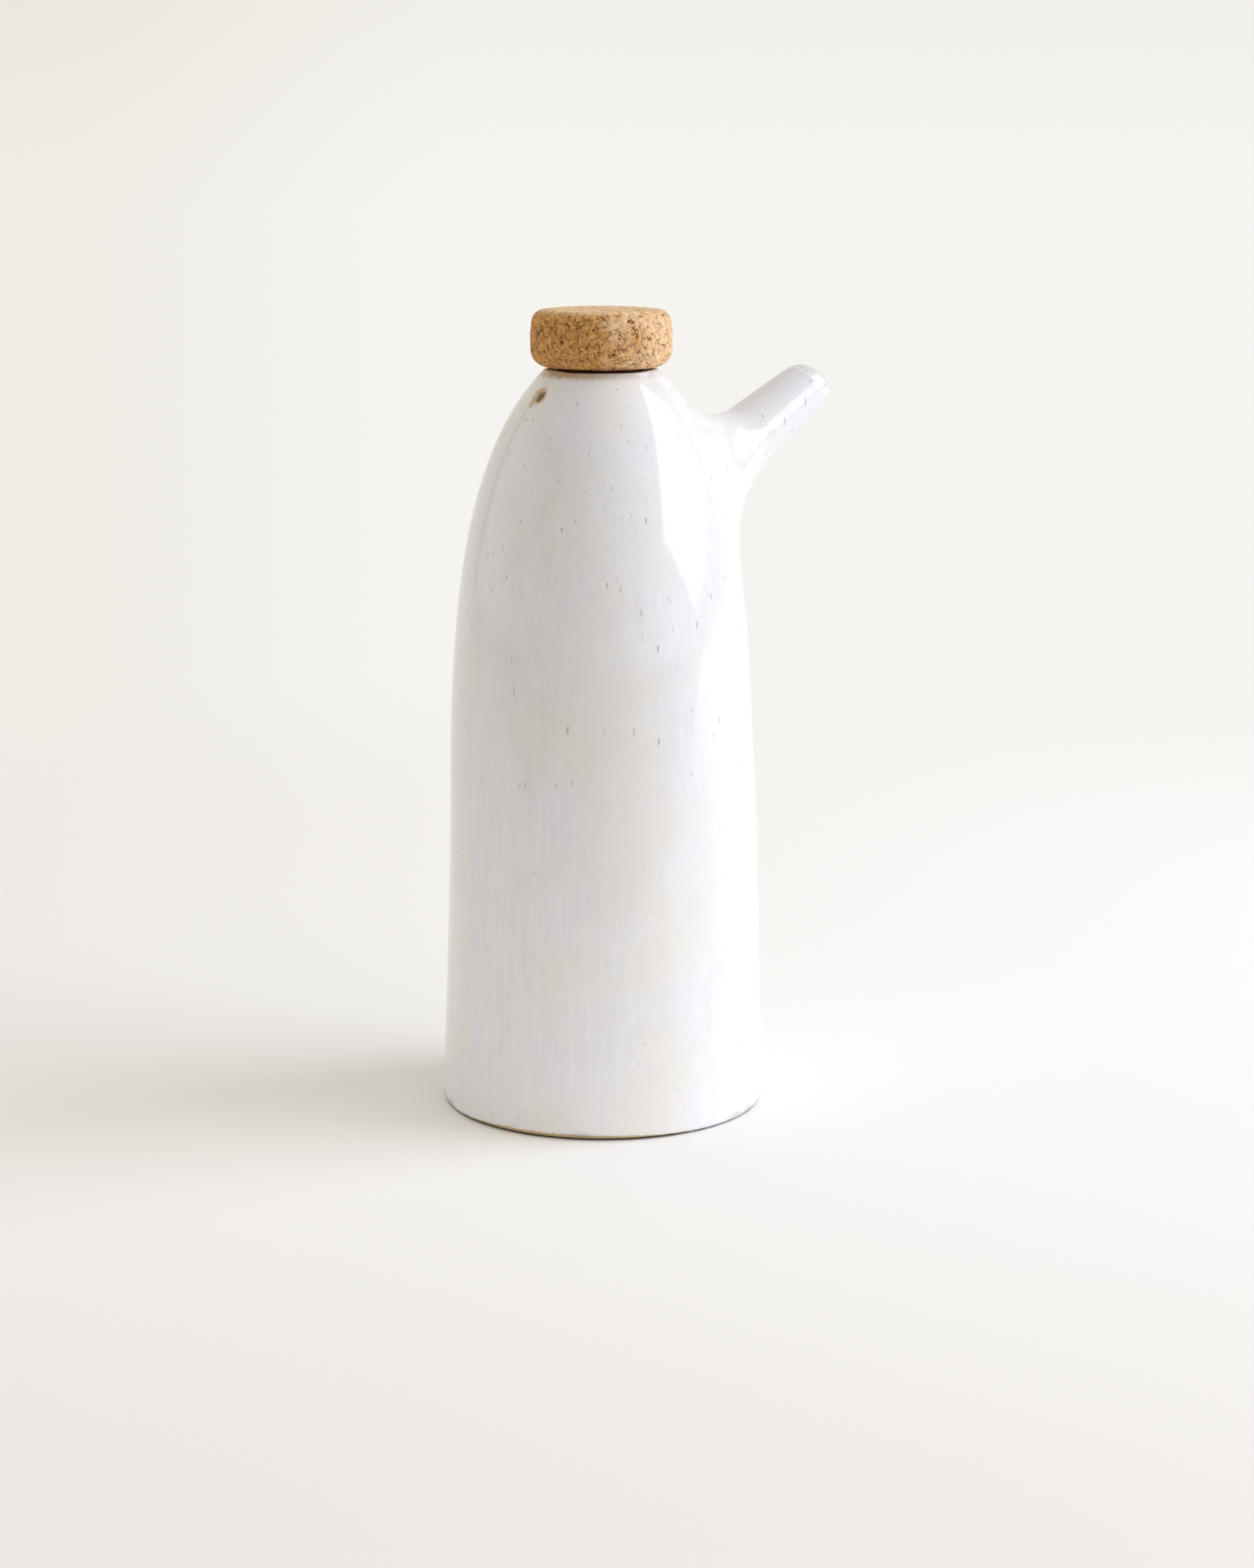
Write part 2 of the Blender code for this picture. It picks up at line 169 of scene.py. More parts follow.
def run_along(tree, vector, direction):
    """How far a vector runs along a fixed direction."""
    inputs = {0: vector, 1: direction}
    return add_node(tree, "ShaderNodeVectorMath", inputs, operation="DOT_PRODUCT").outputs["Value"]


def end_chain(tree, shader, kind="ShaderNodeOutputMaterial"):
    add_node(tree, kind, {"Surface": shader.outputs[0]})


print("mixing helpers ready")

# %% [markdown]
# ## The studio
#
# The bottle stands on a seamless pale table beside one large softbox on the right, with a bright room all
# round. The softbox draws the tall white reflection on the body and throws the soft shadow to the left.
# Its outline comes from that reflection: at each of its edges the glaze mirrors the direction in which the
# softbox ends, and a tilted rectangle fits those directions. The room is a plain function of direction,
# with a few soft patches, so the glaze is darkest left of its middle and lightens again towards its left
# edge. The pale backdrop that the camera sees, and that the gloss mirrors along both sides of the
# bottle, is only colour and adds no light to the clay. A darker gap beside that backdrop draws a thin
# grey line just inside the bottle's left edge.

# %% The room
ROOM_LEVEL = 0.575
ROOM_FROM_RIGHT = 0.094
ROOM_FROM_FRONT = -0.084
ROOM_CORNERS = 0.16
ROOM_FROM_ABOVE = 0.22
PATCH_SHARPNESS = 6.0
# Degrees to the right of the camera, degrees up, strength
ROOM_PATCHES = ((-95.0, 10.0, 0.76), (50.0, 10.0, 0.92), (105.0, 10.0, -0.66), (-45.0, 60.0, -0.32))

world = bpy.data.worlds.new("bright_room")
world.use_nodes = True
room = world.node_tree
room.nodes.clear()
room_direction = add_node(room, "ShaderNodeTexCoord").outputs["Generated"]


def direction_from_bottle(turn_right, rise):
    """Direction from the bottle, turned to the right from straight towards the camera and raised."""
    level = towards_camera * math.cos(turn_right) + picture_right * math.sin(turn_right)
    return level * math.cos(rise) + upward * math.sin(rise)


def soft_patch(turn_right, rise, strength):
    """A soft bright or dark patch on the room's walls."""
    middle = direction_from_bottle(math.radians(turn_right), math.radians(rise))
    past_middle = calculate(room, "SUBTRACT", run_along(room, room_direction, middle), 1.0)
    fading = product(room, past_middle, PATCH_SHARPNESS)
    return product(room, calculate(room, "EXPONENT", fading, 0.0), strength)


from_right = run_along(room, room_direction, picture_right)
from_front = run_along(room, room_direction, towards_camera)
from_above = run_along(room, room_direction, upward)
room_level = total(
    room,
    product(room, from_right, ROOM_FROM_RIGHT),
    product(room, from_front, ROOM_FROM_FRONT),
    product(room, from_right, from_front, ROOM_CORNERS),
    product(room, from_above, from_above, ROOM_FROM_ABOVE),
    ROOM_LEVEL,
    *[soft_patch(*patch) for patch in ROOM_PATCHES],
)
print("room level", ROOM_LEVEL, "level with the bottle, with", len(ROOM_PATCHES), "soft patches")

# %% The backdrop that the camera and the gloss see
ROOM_TINT = (1.0, 0.965, 0.905, 1.0)
BACKDROP_BRIGHT = (0.921, 0.905, 0.872, 1.0)
BACKDROP_DIM = (0.815, 0.780, 0.715, 1.0)
DIM_TO_LEFT = (-0.175, -0.03, 0.5, 0.0)
DIM_UPWARDS = (-0.04, 0.12, 0.0, 0.75)
BACKDROP_EDGE = (0.61, 0.65)
GAP_START = (0.50, 0.55)
GAP_END = (0.63, 0.60)
GAP_DARKNESS = 0.6


def seen_backdrop(tree, behind):
    """1 for rays that show the backdrop: the camera's, those through glass, and gloss mirrored back."""
    rays = add_node(tree, "ShaderNodeLightPath").outputs
    mirrored = product(tree, rays["Is Glossy Ray"], remap(tree, behind, *BACKDROP_EDGE))
    return calculate(tree, "MAXIMUM", rays["Is Camera Ray"], rays["Is Transmission Ray"], mirrored)


room_behind = product(room, from_front, -1.0)
gap = product(
    room,
    remap(room, room_behind, *GAP_START),
    remap(room, room_behind, *GAP_END),
    add_node(room, "ShaderNodeLightPath").outputs["Is Glossy Ray"],
    GAP_DARKNESS,
)
room_strength = product(room, room_level, calculate(room, "SUBTRACT", 1.0, gap))
dimming = total(room, remap(room, from_right, *DIM_TO_LEFT), remap(room, from_above, *DIM_UPWARDS))
room_colour = mix_colour(room, dimming, BACKDROP_BRIGHT, BACKDROP_DIM)
room_light = add_node(room, "ShaderNodeBackground", {"Color": ROOM_TINT, "Strength": room_strength})
room_seen = add_node(room, "ShaderNodeBackground", {"Color": room_colour, "Strength": 1.0})
room_mix = mix_shaders(room, seen_backdrop(room, room_behind), room_light, room_seen)
end_chain(room, room_mix, "ShaderNodeOutputWorld")
bpy.context.scene.world = world
print("backdrop from", BACKDROP_DIM[:3], "to", BACKDROP_BRIGHT[:3])

# %% The softbox
SOFTBOX_TURN = math.radians(84.4)
SOFTBOX_RISE = math.radians(16.9)
SOFTBOX_DISTANCE = 2.35
SOFTBOX_AIM = upward * 0.12
SOFTBOX_YAW = math.radians(22.5)
SOFTBOX_PITCH = math.radians(48.1)
SOFTBOX_ROLL = math.radians(24.0)
SOFTBOX_WIDTH = 2.62
SOFTBOX_HEIGHT = 1.80
SOFTBOX_RADIANCE = 3.15
SOFTBOX_TINT = (0.92, 1.0, 1.22)

softbox_back = direction_from_bottle(SOFTBOX_TURN + SOFTBOX_YAW, SOFTBOX_RISE + SOFTBOX_PITCH)
level_side = upward.cross(softbox_back).normalized()
steep_side = softbox_back.cross(level_side)
width_side = level_side * math.cos(SOFTBOX_ROLL) + steep_side * math.sin(SOFTBOX_ROLL)
height_side = steep_side * math.cos(SOFTBOX_ROLL) - level_side * math.sin(SOFTBOX_ROLL)

softbox_light = bpy.data.lights.new("softbox", "AREA")
softbox_light.shape = "RECTANGLE"
softbox_light.size = SOFTBOX_WIDTH
softbox_light.size_y = SOFTBOX_HEIGHT
softbox_light.energy = SOFTBOX_RADIANCE * math.pi * SOFTBOX_WIDTH * SOFTBOX_HEIGHT
softbox_light.color = SOFTBOX_TINT
softbox = add_to_scene("softbox", softbox_light)
softbox.location = SOFTBOX_AIM + direction_from_bottle(SOFTBOX_TURN, SOFTBOX_RISE) * SOFTBOX_DISTANCE
softbox.rotation_euler = Matrix((width_side, height_side, softbox_back)).transposed().to_euler()
print("softbox at", tuple(round(value, 3) for value in softbox.location))
print("softbox power", round(softbox_light.energy, 1), "W")

# %% [markdown]
# The table is a flat disc that takes the shadow. Further out its colour turns into plain emission of
# the room's own colour, so the edge of the table can't be seen, as with a paper sweep in a studio. The
# paper's colour is painted a little dimmer in front, as painted shade where the light falls off. Past its
# front edge the room is dark: the camera never sees that, but the glaze does, and it darkens the upper
# half of the bottle's front.

# %% The table
TABLE_RADIUS = 9.0
TABLE_SIDES = 96
TABLE_COLOUR = (0.985, 0.965, 0.922, 1.0)
TABLE_PAINTED_SHADE = (0.835, 0.800, 0.735, 1.0)
PAINTED_SHADE_FORWARDS = (0.02, 0.30, 0.0, 0.45)
FADE_OUT = (0.24, 0.66)
SWEEP_WIDENING = 0.80
LEAST_WIDENING = 0.30
PAPER_EDGE = (0.30, 0.32)
PAST_THE_EDGE = 0.30

table_mesh = bpy.data.meshes.new("studio_table")
table_shape = bmesh.new()
bmesh.ops.create_circle(table_shape, cap_ends=True, radius=TABLE_RADIUS, segments=TABLE_SIDES)
table_shape.to_mesh(table_mesh)
table_shape.free()
table = add_to_scene("studio_table", table_mesh)

table_finish, tree = new_material("studio_table")
spot = add_node(tree, "ShaderNodeTexCoord").outputs["Object"]
to_right = run_along(tree, spot, picture_right)
to_front = run_along(tree, spot, towards_camera)
# Painted shade: the paper's colour dims towards the front
paper = mix_colour(tree, remap(tree, to_front, *PAINTED_SHADE_FORWARDS), TABLE_COLOUR, TABLE_PAINTED_SHADE)
unseen = calculate(tree, "SUBTRACT", 1.0, add_node(tree, "ShaderNodeLightPath").outputs["Is Camera Ray"])
dark_share = product(tree, unseen, remap(tree, to_front, *PAPER_EDGE))
dark_paper = tuple(PAST_THE_EDGE * value for value in TABLE_COLOUR[:3]) + (1.0,)
matt_paper = add_node(
    tree,
    "ShaderNodeBsdfDiffuse",
    {"Color": mix_colour(tree, dark_share, paper, dark_paper)},
)
sweep_width = calculate(tree, "SUBTRACT", SWEEP_WIDENING, to_front)
sweep_width = calculate(tree, "MAXIMUM", sweep_width, LEAST_WIDENING)
far_dimming = remap(tree, calculate(tree, "DIVIDE", to_right, sweep_width), *DIM_TO_LEFT)
far_paper = mix_colour(tree, far_dimming, BACKDROP_BRIGHT, BACKDROP_DIM)
glowing_paper = add_node(tree, "ShaderNodeEmission", {"Color": far_paper, "Strength": 1.0})
reach = add_node(tree, "ShaderNodeVectorMath", {0: spot}, operation="LENGTH").outputs["Value"]
behind = product(tree, calculate(tree, "DIVIDE", to_front, reach), -1.0)
faded = product(tree, remap(tree, reach, *FADE_OUT), seen_backdrop(tree, behind))
end_chain(tree, mix_shaders(tree, faded, matt_paper, glowing_paper))
table_mesh.materials.append(table_finish)
print("table fades into the room between", FADE_OUT, "m")

# %% [markdown]
# ## The wall of the vessel
#
# A potter throws this form in one piece: a wall that tapers very slightly and then closes in over a
# rounded shoulder to the mouth. The same closed formula that shaped the solids gives its radius here.
# We measure places on the wall by their heading around the bottle and by the length of clay from the
# foot up, because the length keeps its step where the shoulder turns almost level.
#
# No thrown bottle is perfectly round or upright. This one leans a third of a millimetre to the left
# above its middle and swells very slightly here and there, and its reflections show it.

# %% Radius of the wall and lengths along it
MM = 0.001
WALL_RADIUS = 0.0400
WALL_TAPER = 0.0293
SHOULDER_START = 0.0600
SHOULDER_SQUARENESS = 4.06
SHOULDER_FULLNESS = 1.70
RIM_RADIUS = 0.01415
WALL_TOP = 0.1812
GLAZE_LINE = 0.0011
WALL_SAMPLES = 4001


def taper_radius(height):
    return WALL_RADIUS - WALL_TAPER * height


def wall_radius(height):
    rim_share = RIM_RADIUS / taper_radius(WALL_TOP)
    rim_part = (1.0 - rim_share**SHOULDER_FULLNESS) ** (1.0 / SHOULDER_SQUARENESS)
    part = rim_part * np.clip((height - SHOULDER_START) / (WALL_TOP - SHOULDER_START), 0.0, 1.0)
    closing = (1.0 - part**SHOULDER_SQUARENESS) ** (1.0 / SHOULDER_FULLNESS)
    return taper_radius(height) * closing


sample_parts = np.linspace(0.0, 1.0, WALL_SAMPLES)
sample_heights = GLAZE_LINE + (WALL_TOP - GLAZE_LINE) * (1.0 - (1.0 - sample_parts) ** 2)
sample_radii = wall_radius(sample_heights)
sample_steps = np.hypot(np.diff(sample_radii), np.diff(sample_heights))
sample_lengths = np.concatenate(([0.0], np.cumsum(sample_steps)))
WALL_LENGTH = float(sample_lengths[-1])
print("wall length", round(WALL_LENGTH / MM, 1), "mm")
print("radius at the rim", round(float(sample_radii[-1]) / MM, 2), "mm")

# %% Unevenness left by the potter
LEAN_RIGHT = 0.0002
LEAN_RIGHT_HEIGHTS = (0.010, 0.035)
LEAN_LEFT = 0.0003
LEAN_LEFT_HEIGHTS = (0.062, 0.108)
SLOW_SWELL = 0.00009
QUICK_SWELL = 0.00005
THROWING_RINGS = 0.000008
# Waves around the wall, where they start, and how fast they turn along its clay
SLOW_AROUND = 2.0
SLOW_AROUND_START = 0.8
SLOW_UP = 34.0
SLOW_UP_START = 0.4
QUICK_AROUND = 3.0
QUICK_AROUND_START = -1.1
QUICK_SLANT = 21.0
QUICK_UP = 81.0
RINGS_UP = 410.0
RINGS_SWAY = 1.5
SWELL_START = 0.030
FOOT_TUCK = 0.0007
FOOT_TUCK_LENGTH = 0.0060


def smooth_step(value, low, high):
    part = np.clip((value - low) / (high - low), 0.0, 1.0)
    return part * part * (3.0 - 2.0 * part)


def lean_at(height):
    """Sideways drift of the clay at a height, as seen in the photograph."""
    drift_right = LEAN_RIGHT * smooth_step(height, *LEAN_RIGHT_HEIGHTS)
    return drift_right - (LEAN_LEFT + LEAN_RIGHT) * smooth_step(height, *LEAN_LEFT_HEIGHTS)


def swell(heading, length):
    """Slow unevenness left by the potter's hands, mostly under a tenth of a millimetre."""
    slow_around = np.sin(SLOW_AROUND * heading + SLOW_AROUND_START)
    slow = slow_around * np.sin(SLOW_UP * length + SLOW_UP_START)
    quick_around = np.sin(QUICK_AROUND * heading + QUICK_AROUND_START + QUICK_SLANT * length)
    quick = quick_around * np.sin(QUICK_UP * length)
    rings = np.sin(RINGS_UP * length + RINGS_SWAY * np.sin(heading))
    above_foot = smooth_step(length, 0.0, SWELL_START)
    return above_foot * (SLOW_SWELL * slow + QUICK_SWELL * quick + THROWING_RINGS * rings)


def foot_tuck(length):
    """The lowest few millimetres of the wall are drawn in a little."""
    return FOOT_TUCK * (1.0 - smooth_step(length, -FOOT_TUCK_LENGTH, FOOT_TUCK_LENGTH))


print("the top leans", round(float(lean_at(WALL_TOP)) / MM, 2), "mm to the right")

# %% Places on the wall
NORMAL_REACH = 0.0003


def wall_curve(length):
    """Radius and height of the wall at a length of clay from the foot up."""
    radius = np.interp(length, sample_lengths, sample_radii)
    return np.array((radius, np.interp(length, sample_lengths, sample_heights)))


def around_axis(radius, heading, height):
    """Points around the leaning axis."""
    drift = lean_at(height)
    across = radius * np.cos(heading) + drift * picture_right.x
    along = radius * np.sin(heading) + drift * picture_right.y
    return np.stack((across, along, height), axis=-1)


def wall_place(heading, length, depth=0.0):
    """Points on the wall, or a depth inside it, for arrays of headings and lengths."""
    heading, length = np.broadcast_arrays(np.asarray(heading, float), np.asarray(length, float))
    radius, height = wall_curve(length)
    below = np.clip(length - NORMAL_REACH, 0.0, WALL_LENGTH)
    above = np.clip(length + NORMAL_REACH, 0.0, WALL_LENGTH)
    run_out, run_up = wall_curve(above) - wall_curve(below)
    size = np.hypot(run_out, run_up)
    radius = radius + swell(heading, length) - foot_tuck(length) - depth * run_up / size
    return around_axis(radius, heading, height + depth * run_out / size)


print("wall under the spout, halfway along its clay:", tuple(wall_place(0.0, 0.5 * WALL_LENGTH).round(4)))

# %% The outside and the inside as curves of radius over height
WALL_THICKNESS = 0.0042
side_climb = np.gradient(sample_heights, sample_lengths)
side_close = np.gradient(sample_radii, sample_lengths)
outside_curve = (sample_heights, sample_radii)
inside_curve = (sample_heights + WALL_THICKNESS * side_close, sample_radii - WALL_THICKNESS * side_climb)
print("inside of the wall ends", round(float(inside_curve[0][-1]) / MM, 1), "mm up")

# %% [markdown]
# ## The spout
#
# The spout is a small tapered tube, thrown or rolled by itself, cut at a slant and luted on over a hole
# in the shoulder. The potter smears clay from the wall up on to the tube, and that smear gives the long
# concave sweep underneath and the short one on top. For every turn around the spout's axis we draw one
# line: it leaves along the wall, bends on to the tube, runs to the lip, rolls over it and goes back down
# the bore to the inside of the vessel. A cubic curve with set end directions makes the bend.

# %% Sizes of the spout
SPOUT_SLOPE = math.radians(32.8)
SPOUT_ROOT_HEIGHT = 0.1534
SPOUT_LENGTH = 0.0425
SPOUT_ROOT_RADIUS = 0.0099
SPOUT_TIP_RADIUS = 0.00604
SPOUT_MOUTH_CUT = math.radians(9.6)
SPOUT_LIP_LENGTH = 0.0030
SPOUT_LIP_DEPTH = 0.0017
SPOUT_BORE_ROOT_RADIUS = 0.0060
SPOUT_BORE_TIP_RADIUS = 0.0037
SPOUT_BORE_EDGE = 0.0006
POUR_HOLE_FLARE = 0.0008
FLARE_START = 0.88

SWEEP_SPREAD_TOP = 0.0192
SWEEP_SPREAD_SIDE = 0.0154
SWEEP_SPREAD_UNDER = 0.0223
SWEEP_RUN_TOP = 0.0191
SWEEP_RUN_UNDER = 0.0258
SWEEP_PULL = 1.2
LEAST_TUBE = 0.0010

spout_axis = Vector((math.cos(SPOUT_SLOPE), 0.0, math.sin(SPOUT_SLOPE)))
spout_upward = Vector((-math.sin(SPOUT_SLOPE), 0.0, math.cos(SPOUT_SLOPE)))
spout_sideways = Vector((0.0, 1.0, 0.0))
spout_root = Vector((float(wall_radius(SPOUT_ROOT_HEIGHT)), 0.0, SPOUT_ROOT_HEIGHT))
spout_tip = spout_root + spout_axis * SPOUT_LENGTH
for name, place in (("root", spout_root), ("tip", spout_tip)):
    print("spout's", name, "at", tuple(round(value / MM, 1) for value in place), "mm")

# %% Where a line beside the spout's axis leaves the wall
BISECTIONS = 40


def spout_point(turn, along, off_axis):
    outward = spout_upward * math.cos(turn) + spout_sideways * math.sin(turn)
    return spout_root + spout_axis * along + outward * off_axis


def off_the_lean(point):
    """A point's sideways place measured from the leaning axis."""
    drift = float(lean_at(point.z))
    return point.x - drift * picture_right.x, point.y - drift * picture_right.y


def is_within(point, curve):
    heights, radii = curve
    if point.z >= heights[-1]:
        return False
    return math.hypot(*off_the_lean(point)) < float(np.interp(point.z, heights, radii))


def leaves_wall(turn, off_axis, curve):
    low, high = -WALL_RADIUS, WALL_RADIUS
    for _ in range(BISECTIONS):
        middle = 0.5 * (low + high)
        if is_within(spout_point(turn, middle, off_axis), curve):
            low = middle
        else:
            high = middle
    return low


def spot_on_wall(turn, off_axis, curve):
    """Heading and length on the wall of the place where such a line leaves it."""
    point = spout_point(turn, leaves_wall(turn, off_axis, curve), off_axis)
    across, along = off_the_lean(point)
    return math.atan2(along, across), float(np.interp(point.z, curve[0], sample_lengths))


print("axis leaves the wall at", round(leaves_wall(0.0, 0.0, outside_curve) / MM, 2), "mm along the spout")

# %% How far the sweep spreads and how the tube tapers
# Size of a wave, its count around, its start and its slant along
TOUCH_WAVES = ((0.00006, 2.0, 0.7, 60.0), (0.00004, 3.0, 0.0, -150.0))


def sweep_spread(turn):
    end = SWEEP_SPREAD_TOP if math.cos(turn) > 0.0 else SWEEP_SPREAD_UNDER
    return SWEEP_SPREAD_SIDE + (end - SWEEP_SPREAD_SIDE) * math.cos(turn) ** 2


def sweep_run(turn):
    under = 0.5 * (1.0 - math.cos(turn))
    return SWEEP_RUN_TOP + (SWEEP_RUN_UNDER - SWEEP_RUN_TOP) * under


def hand_waves(turn, waves, along=0.0):
    """Adds up the waves that hands leave around a form."""
    return sum(size * np.sin(count * turn + start + slant * along) for size, count, start, slant in waves)


def tube_point(turn, along):
    """A point on the tube, which is uneven by up to a tenth of a millimetre."""
    radius = SPOUT_ROOT_RADIUS - (SPOUT_ROOT_RADIUS - SPOUT_TIP_RADIUS) * along / SPOUT_LENGTH
    return spout_point(turn, along, radius + float(hand_waves(turn, TOUCH_WAVES, along)))


def mouth_shift(turn, off_axis):
    """How far the slanted cut moves the mouth along the spout."""
    return -math.tan(SPOUT_MOUTH_CUT) * off_axis * math.cos(turn)


print("mouth slants", round(2.0 * mouth_shift(math.pi, SPOUT_TIP_RADIUS) / MM, 2), "mm over its width")

# %% The sweep and the tube
SWEEP_ROWS = 30
TUBE_ROWS = 20


def wall_outward(heading, length):
    """Outward direction of the wall at one place."""
    outer = Vector(wall_place(heading, length))
    inner = Vector(wall_place(heading, length, MM))
    return (outer - inner).normalized()


def sweep_line(turn, heading, length):
    """From the wall over the sweep and along the tube to the lip."""
    start = Vector(wall_place(heading, length))
    normal = wall_outward(heading, length)
    narrow = leaves_wall(turn, SPOUT_ROOT_RADIUS, outside_curve)
    tube_end = SPOUT_LENGTH - SPOUT_LIP_LENGTH + mouth_shift(turn, SPOUT_TIP_RADIUS)
    tube_start = min(narrow + sweep_run(turn), tube_end - LEAST_TUBE)
    inward = spout_point(turn, narrow, SPOUT_ROOT_RADIUS) - start
    inward = (inward - normal * inward.dot(normal)).normalized()
    finish = tube_point(turn, tube_start)
    pull = (finish - start).length * SWEEP_PULL
    line = []
    for row in range(1, SWEEP_ROWS + 1):
        part = row / SWEEP_ROWS
        square, cube = part**2, part**3
        place = start * (2.0 * cube - 3.0 * square + 1.0) + finish * (3.0 * square - 2.0 * cube)
        place += inward * pull * (cube - 2.0 * square + part)
        line.append(place + spout_axis * pull * (cube - square))
    for row in range(1, TUBE_ROWS + 1):
        line.append(tube_point(turn, tube_start + (tube_end - tube_start) * row / TUBE_ROWS))
    return line


print("rows from the wall to the lip:", SWEEP_ROWS + TUBE_ROWS)

# %% The lip and the bore
LIP_ROWS = 9
EDGE_ROWS = 5
BORE_ROWS = 22


def lip_line(turn):
    """Over the rolled lip and round its inner edge into the bore."""
    line = []
    touch = float(hand_waves(turn, TOUCH_WAVES, SPOUT_LENGTH))
    for row in range(1, LIP_ROWS + 1):
        angle = 0.5 * math.pi * row / LIP_ROWS
        off_axis = SPOUT_TIP_RADIUS + touch - SPOUT_LIP_DEPTH * (1.0 - math.cos(angle))
        along = SPOUT_LENGTH - SPOUT_LIP_LENGTH * (1.0 - math.sin(angle)) + mouth_shift(turn, off_axis)
        line.append(spout_point(turn, along, off_axis))
    inner_edge = SPOUT_TIP_RADIUS + touch - SPOUT_LIP_DEPTH - SPOUT_BORE_TIP_RADIUS
    for row in range(1, EDGE_ROWS + 1):
        angle = 0.5 * math.pi * row / EDGE_ROWS
        off_axis = SPOUT_BORE_TIP_RADIUS + inner_edge * (1.0 - math.sin(angle))
        along = SPOUT_LENGTH - SPOUT_BORE_EDGE * (1.0 - math.cos(angle)) + mouth_shift(turn, off_axis)
        line.append(spout_point(turn, along, off_axis))
    return line


def bore_line(turn):
    """Back down the tapered bore, flaring where it meets the inside of the wall."""
    mouth = SPOUT_LENGTH - SPOUT_BORE_EDGE + mouth_shift(turn, SPOUT_BORE_TIP_RADIUS)
    inside = leaves_wall(turn, SPOUT_BORE_ROOT_RADIUS, inside_curve)
    line = []
    for row in range(1, BORE_ROWS):
        part = row / BORE_ROWS
        widening = (SPOUT_BORE_ROOT_RADIUS - SPOUT_BORE_TIP_RADIUS) * part
        flare = POUR_HOLE_FLARE * smooth_step(part, FLARE_START, 1.0)
        off_axis = SPOUT_BORE_TIP_RADIUS + widening + flare
        line.append(spout_point(turn, mouth + (inside - mouth) * part, off_axis))
    return line


print("rows over the lip and down the bore:", LIP_ROWS + EDGE_ROWS + BORE_ROWS - 1)

# %% [markdown]
# ## One skin for the fired vessel
#
# Boolean tools can join a tube to a wall, but they leave a hard seam of uneven faces, and a gloss glaze
# shows every one of them. So we weave the skin by hand from loops of points. The wall is a regular grid
# with a window left open around the spout and another around the vent hole. Each window is filled with
# loops that pass from its square edge to the round opening, all of them lying on the wall.

# %% Helpers that weave the skin
skin_points = []
skin_faces = []


def keep_points(points):
    """Stores an array of points and returns their numbers in the same layout."""
    points = np.asarray(points, float)
    first = len(skin_points)
    skin_points.extend(points.reshape(-1, 3).tolist())
    return np.arange(first, len(skin_points)).reshape(points.shape[:-1])


def keep_face(corners):
    skin_faces.append(tuple(int(corner) for corner in corners))


def weave(loops):
    """Joins each closed loop to the next with four-sided faces."""
    for near, far in zip(loops[:-1], loops[1:]):
        for corners in zip(near, np.roll(near, -1), np.roll(far, -1), far):
            keep_face(corners)


def weave_grid(grid, windows):
    """Faces of a grid of rows and columns that closes on itself, except in its windows."""
    rows, columns = grid.shape
    closed = set()
    for centre, half, low, high in windows:
        for row in range(low, high):
            closed.update((row, column % columns) for column in range(centre - half, centre + half))
    for row in range(rows - 1):
        for column in range(columns):
            if (row, column) not in closed:
                beside = (column + 1) % columns
                lower, upper = grid[row], grid[row + 1]
                keep_face((lower[column], lower[beside], upper[beside], upper[column]))


print("weaving helpers ready")

# %% Windows in the skin
FILL_ROWS = 12
FILL_CROWDING = 1.3


def window_edge(centre, half, low, high):
    """Row and column of each point around a window, from the middle of its top."""
    top = [(high, centre + step) for step in range(half)]
    right = [(high - step, centre + half) for step in range(high - low)]
    bottom = [(low, centre + half - step) for step in range(2 * half)]
    left = [(low + step, centre - half) for step in range(high - low)]
    return top + right + bottom + left + [(high, centre - half + step) for step in range(half)]


def ring_at_depth(ring, depth):
    """Stores a ring of (heading, length) places at a depth in the wall."""
    ring = np.array(ring)
    return keep_points(wall_place(ring[:, 0], ring[:, 1], depth))


def fill_window(grid, window, first_row, ring, depth, rows=FILL_ROWS):
    """Loops on the wall from a ring of (heading, length) places out to the window's edge."""
    columns = grid.shape[1]
    edge = window_edge(*window)
    edge_places = [(2.0 * math.pi * column / columns, row_lengths[first_row + row]) for row, column in edge]
    ring, edge_places = np.array(ring), np.array(edge_places)
    loops = []
    for row in range(rows):
        part = (row / rows) ** FILL_CROWDING
        loops.append(ring_at_depth(ring * (1.0 - part) + edge_places * part, depth))
    loops.append(np.array([grid[row, column % columns] for row, column in edge]))
    weave(loops)
    return loops[0]


print("each of the spout's windows is filled with", FILL_ROWS, "loops")

# %% Outer wall, with windows for the spout and the vent
COLUMNS = 160
ROW_STEP = 0.0015
SPOUT_WINDOW_HALF = 28
SPOUT_WINDOW_BOTTOM = 0.1160
ROWS_ABOVE_SPOUT = 2
VENT_HEADING = math.radians(183.0)
VENT_HEIGHT = 0.1760
VENT_WINDOW_HALF = 5
VENT_WINDOW_ROWS = 3

row_lengths = np.linspace(0.0, WALL_LENGTH, round(WALL_LENGTH / ROW_STEP) + 1)
headings = 2.0 * math.pi * np.arange(COLUMNS) / COLUMNS
outer_wall = keep_points(wall_place(headings[None, :], row_lengths[:, None]))


def length_at(height):
    return float(np.interp(height, sample_heights, sample_lengths))


def row_at(height):
    return int(round(length_at(height) / WALL_LENGTH * (len(row_lengths) - 1)))


vent_column = round(VENT_HEADING / (2.0 * math.pi) * COLUMNS)
vent_row = row_at(VENT_HEIGHT)
spout_top_row = len(row_lengths) - ROWS_ABOVE_SPOUT
spout_window = (0, SPOUT_WINDOW_HALF, row_at(SPOUT_WINDOW_BOTTOM), spout_top_row)
vent_window = (vent_column, VENT_WINDOW_HALF, vent_row - VENT_WINDOW_ROWS, vent_row + VENT_WINDOW_ROWS)
weave_grid(outer_wall, [spout_window, vent_window])
print("outer wall:", outer_wall.shape, "windows:", spout_window, vent_window)

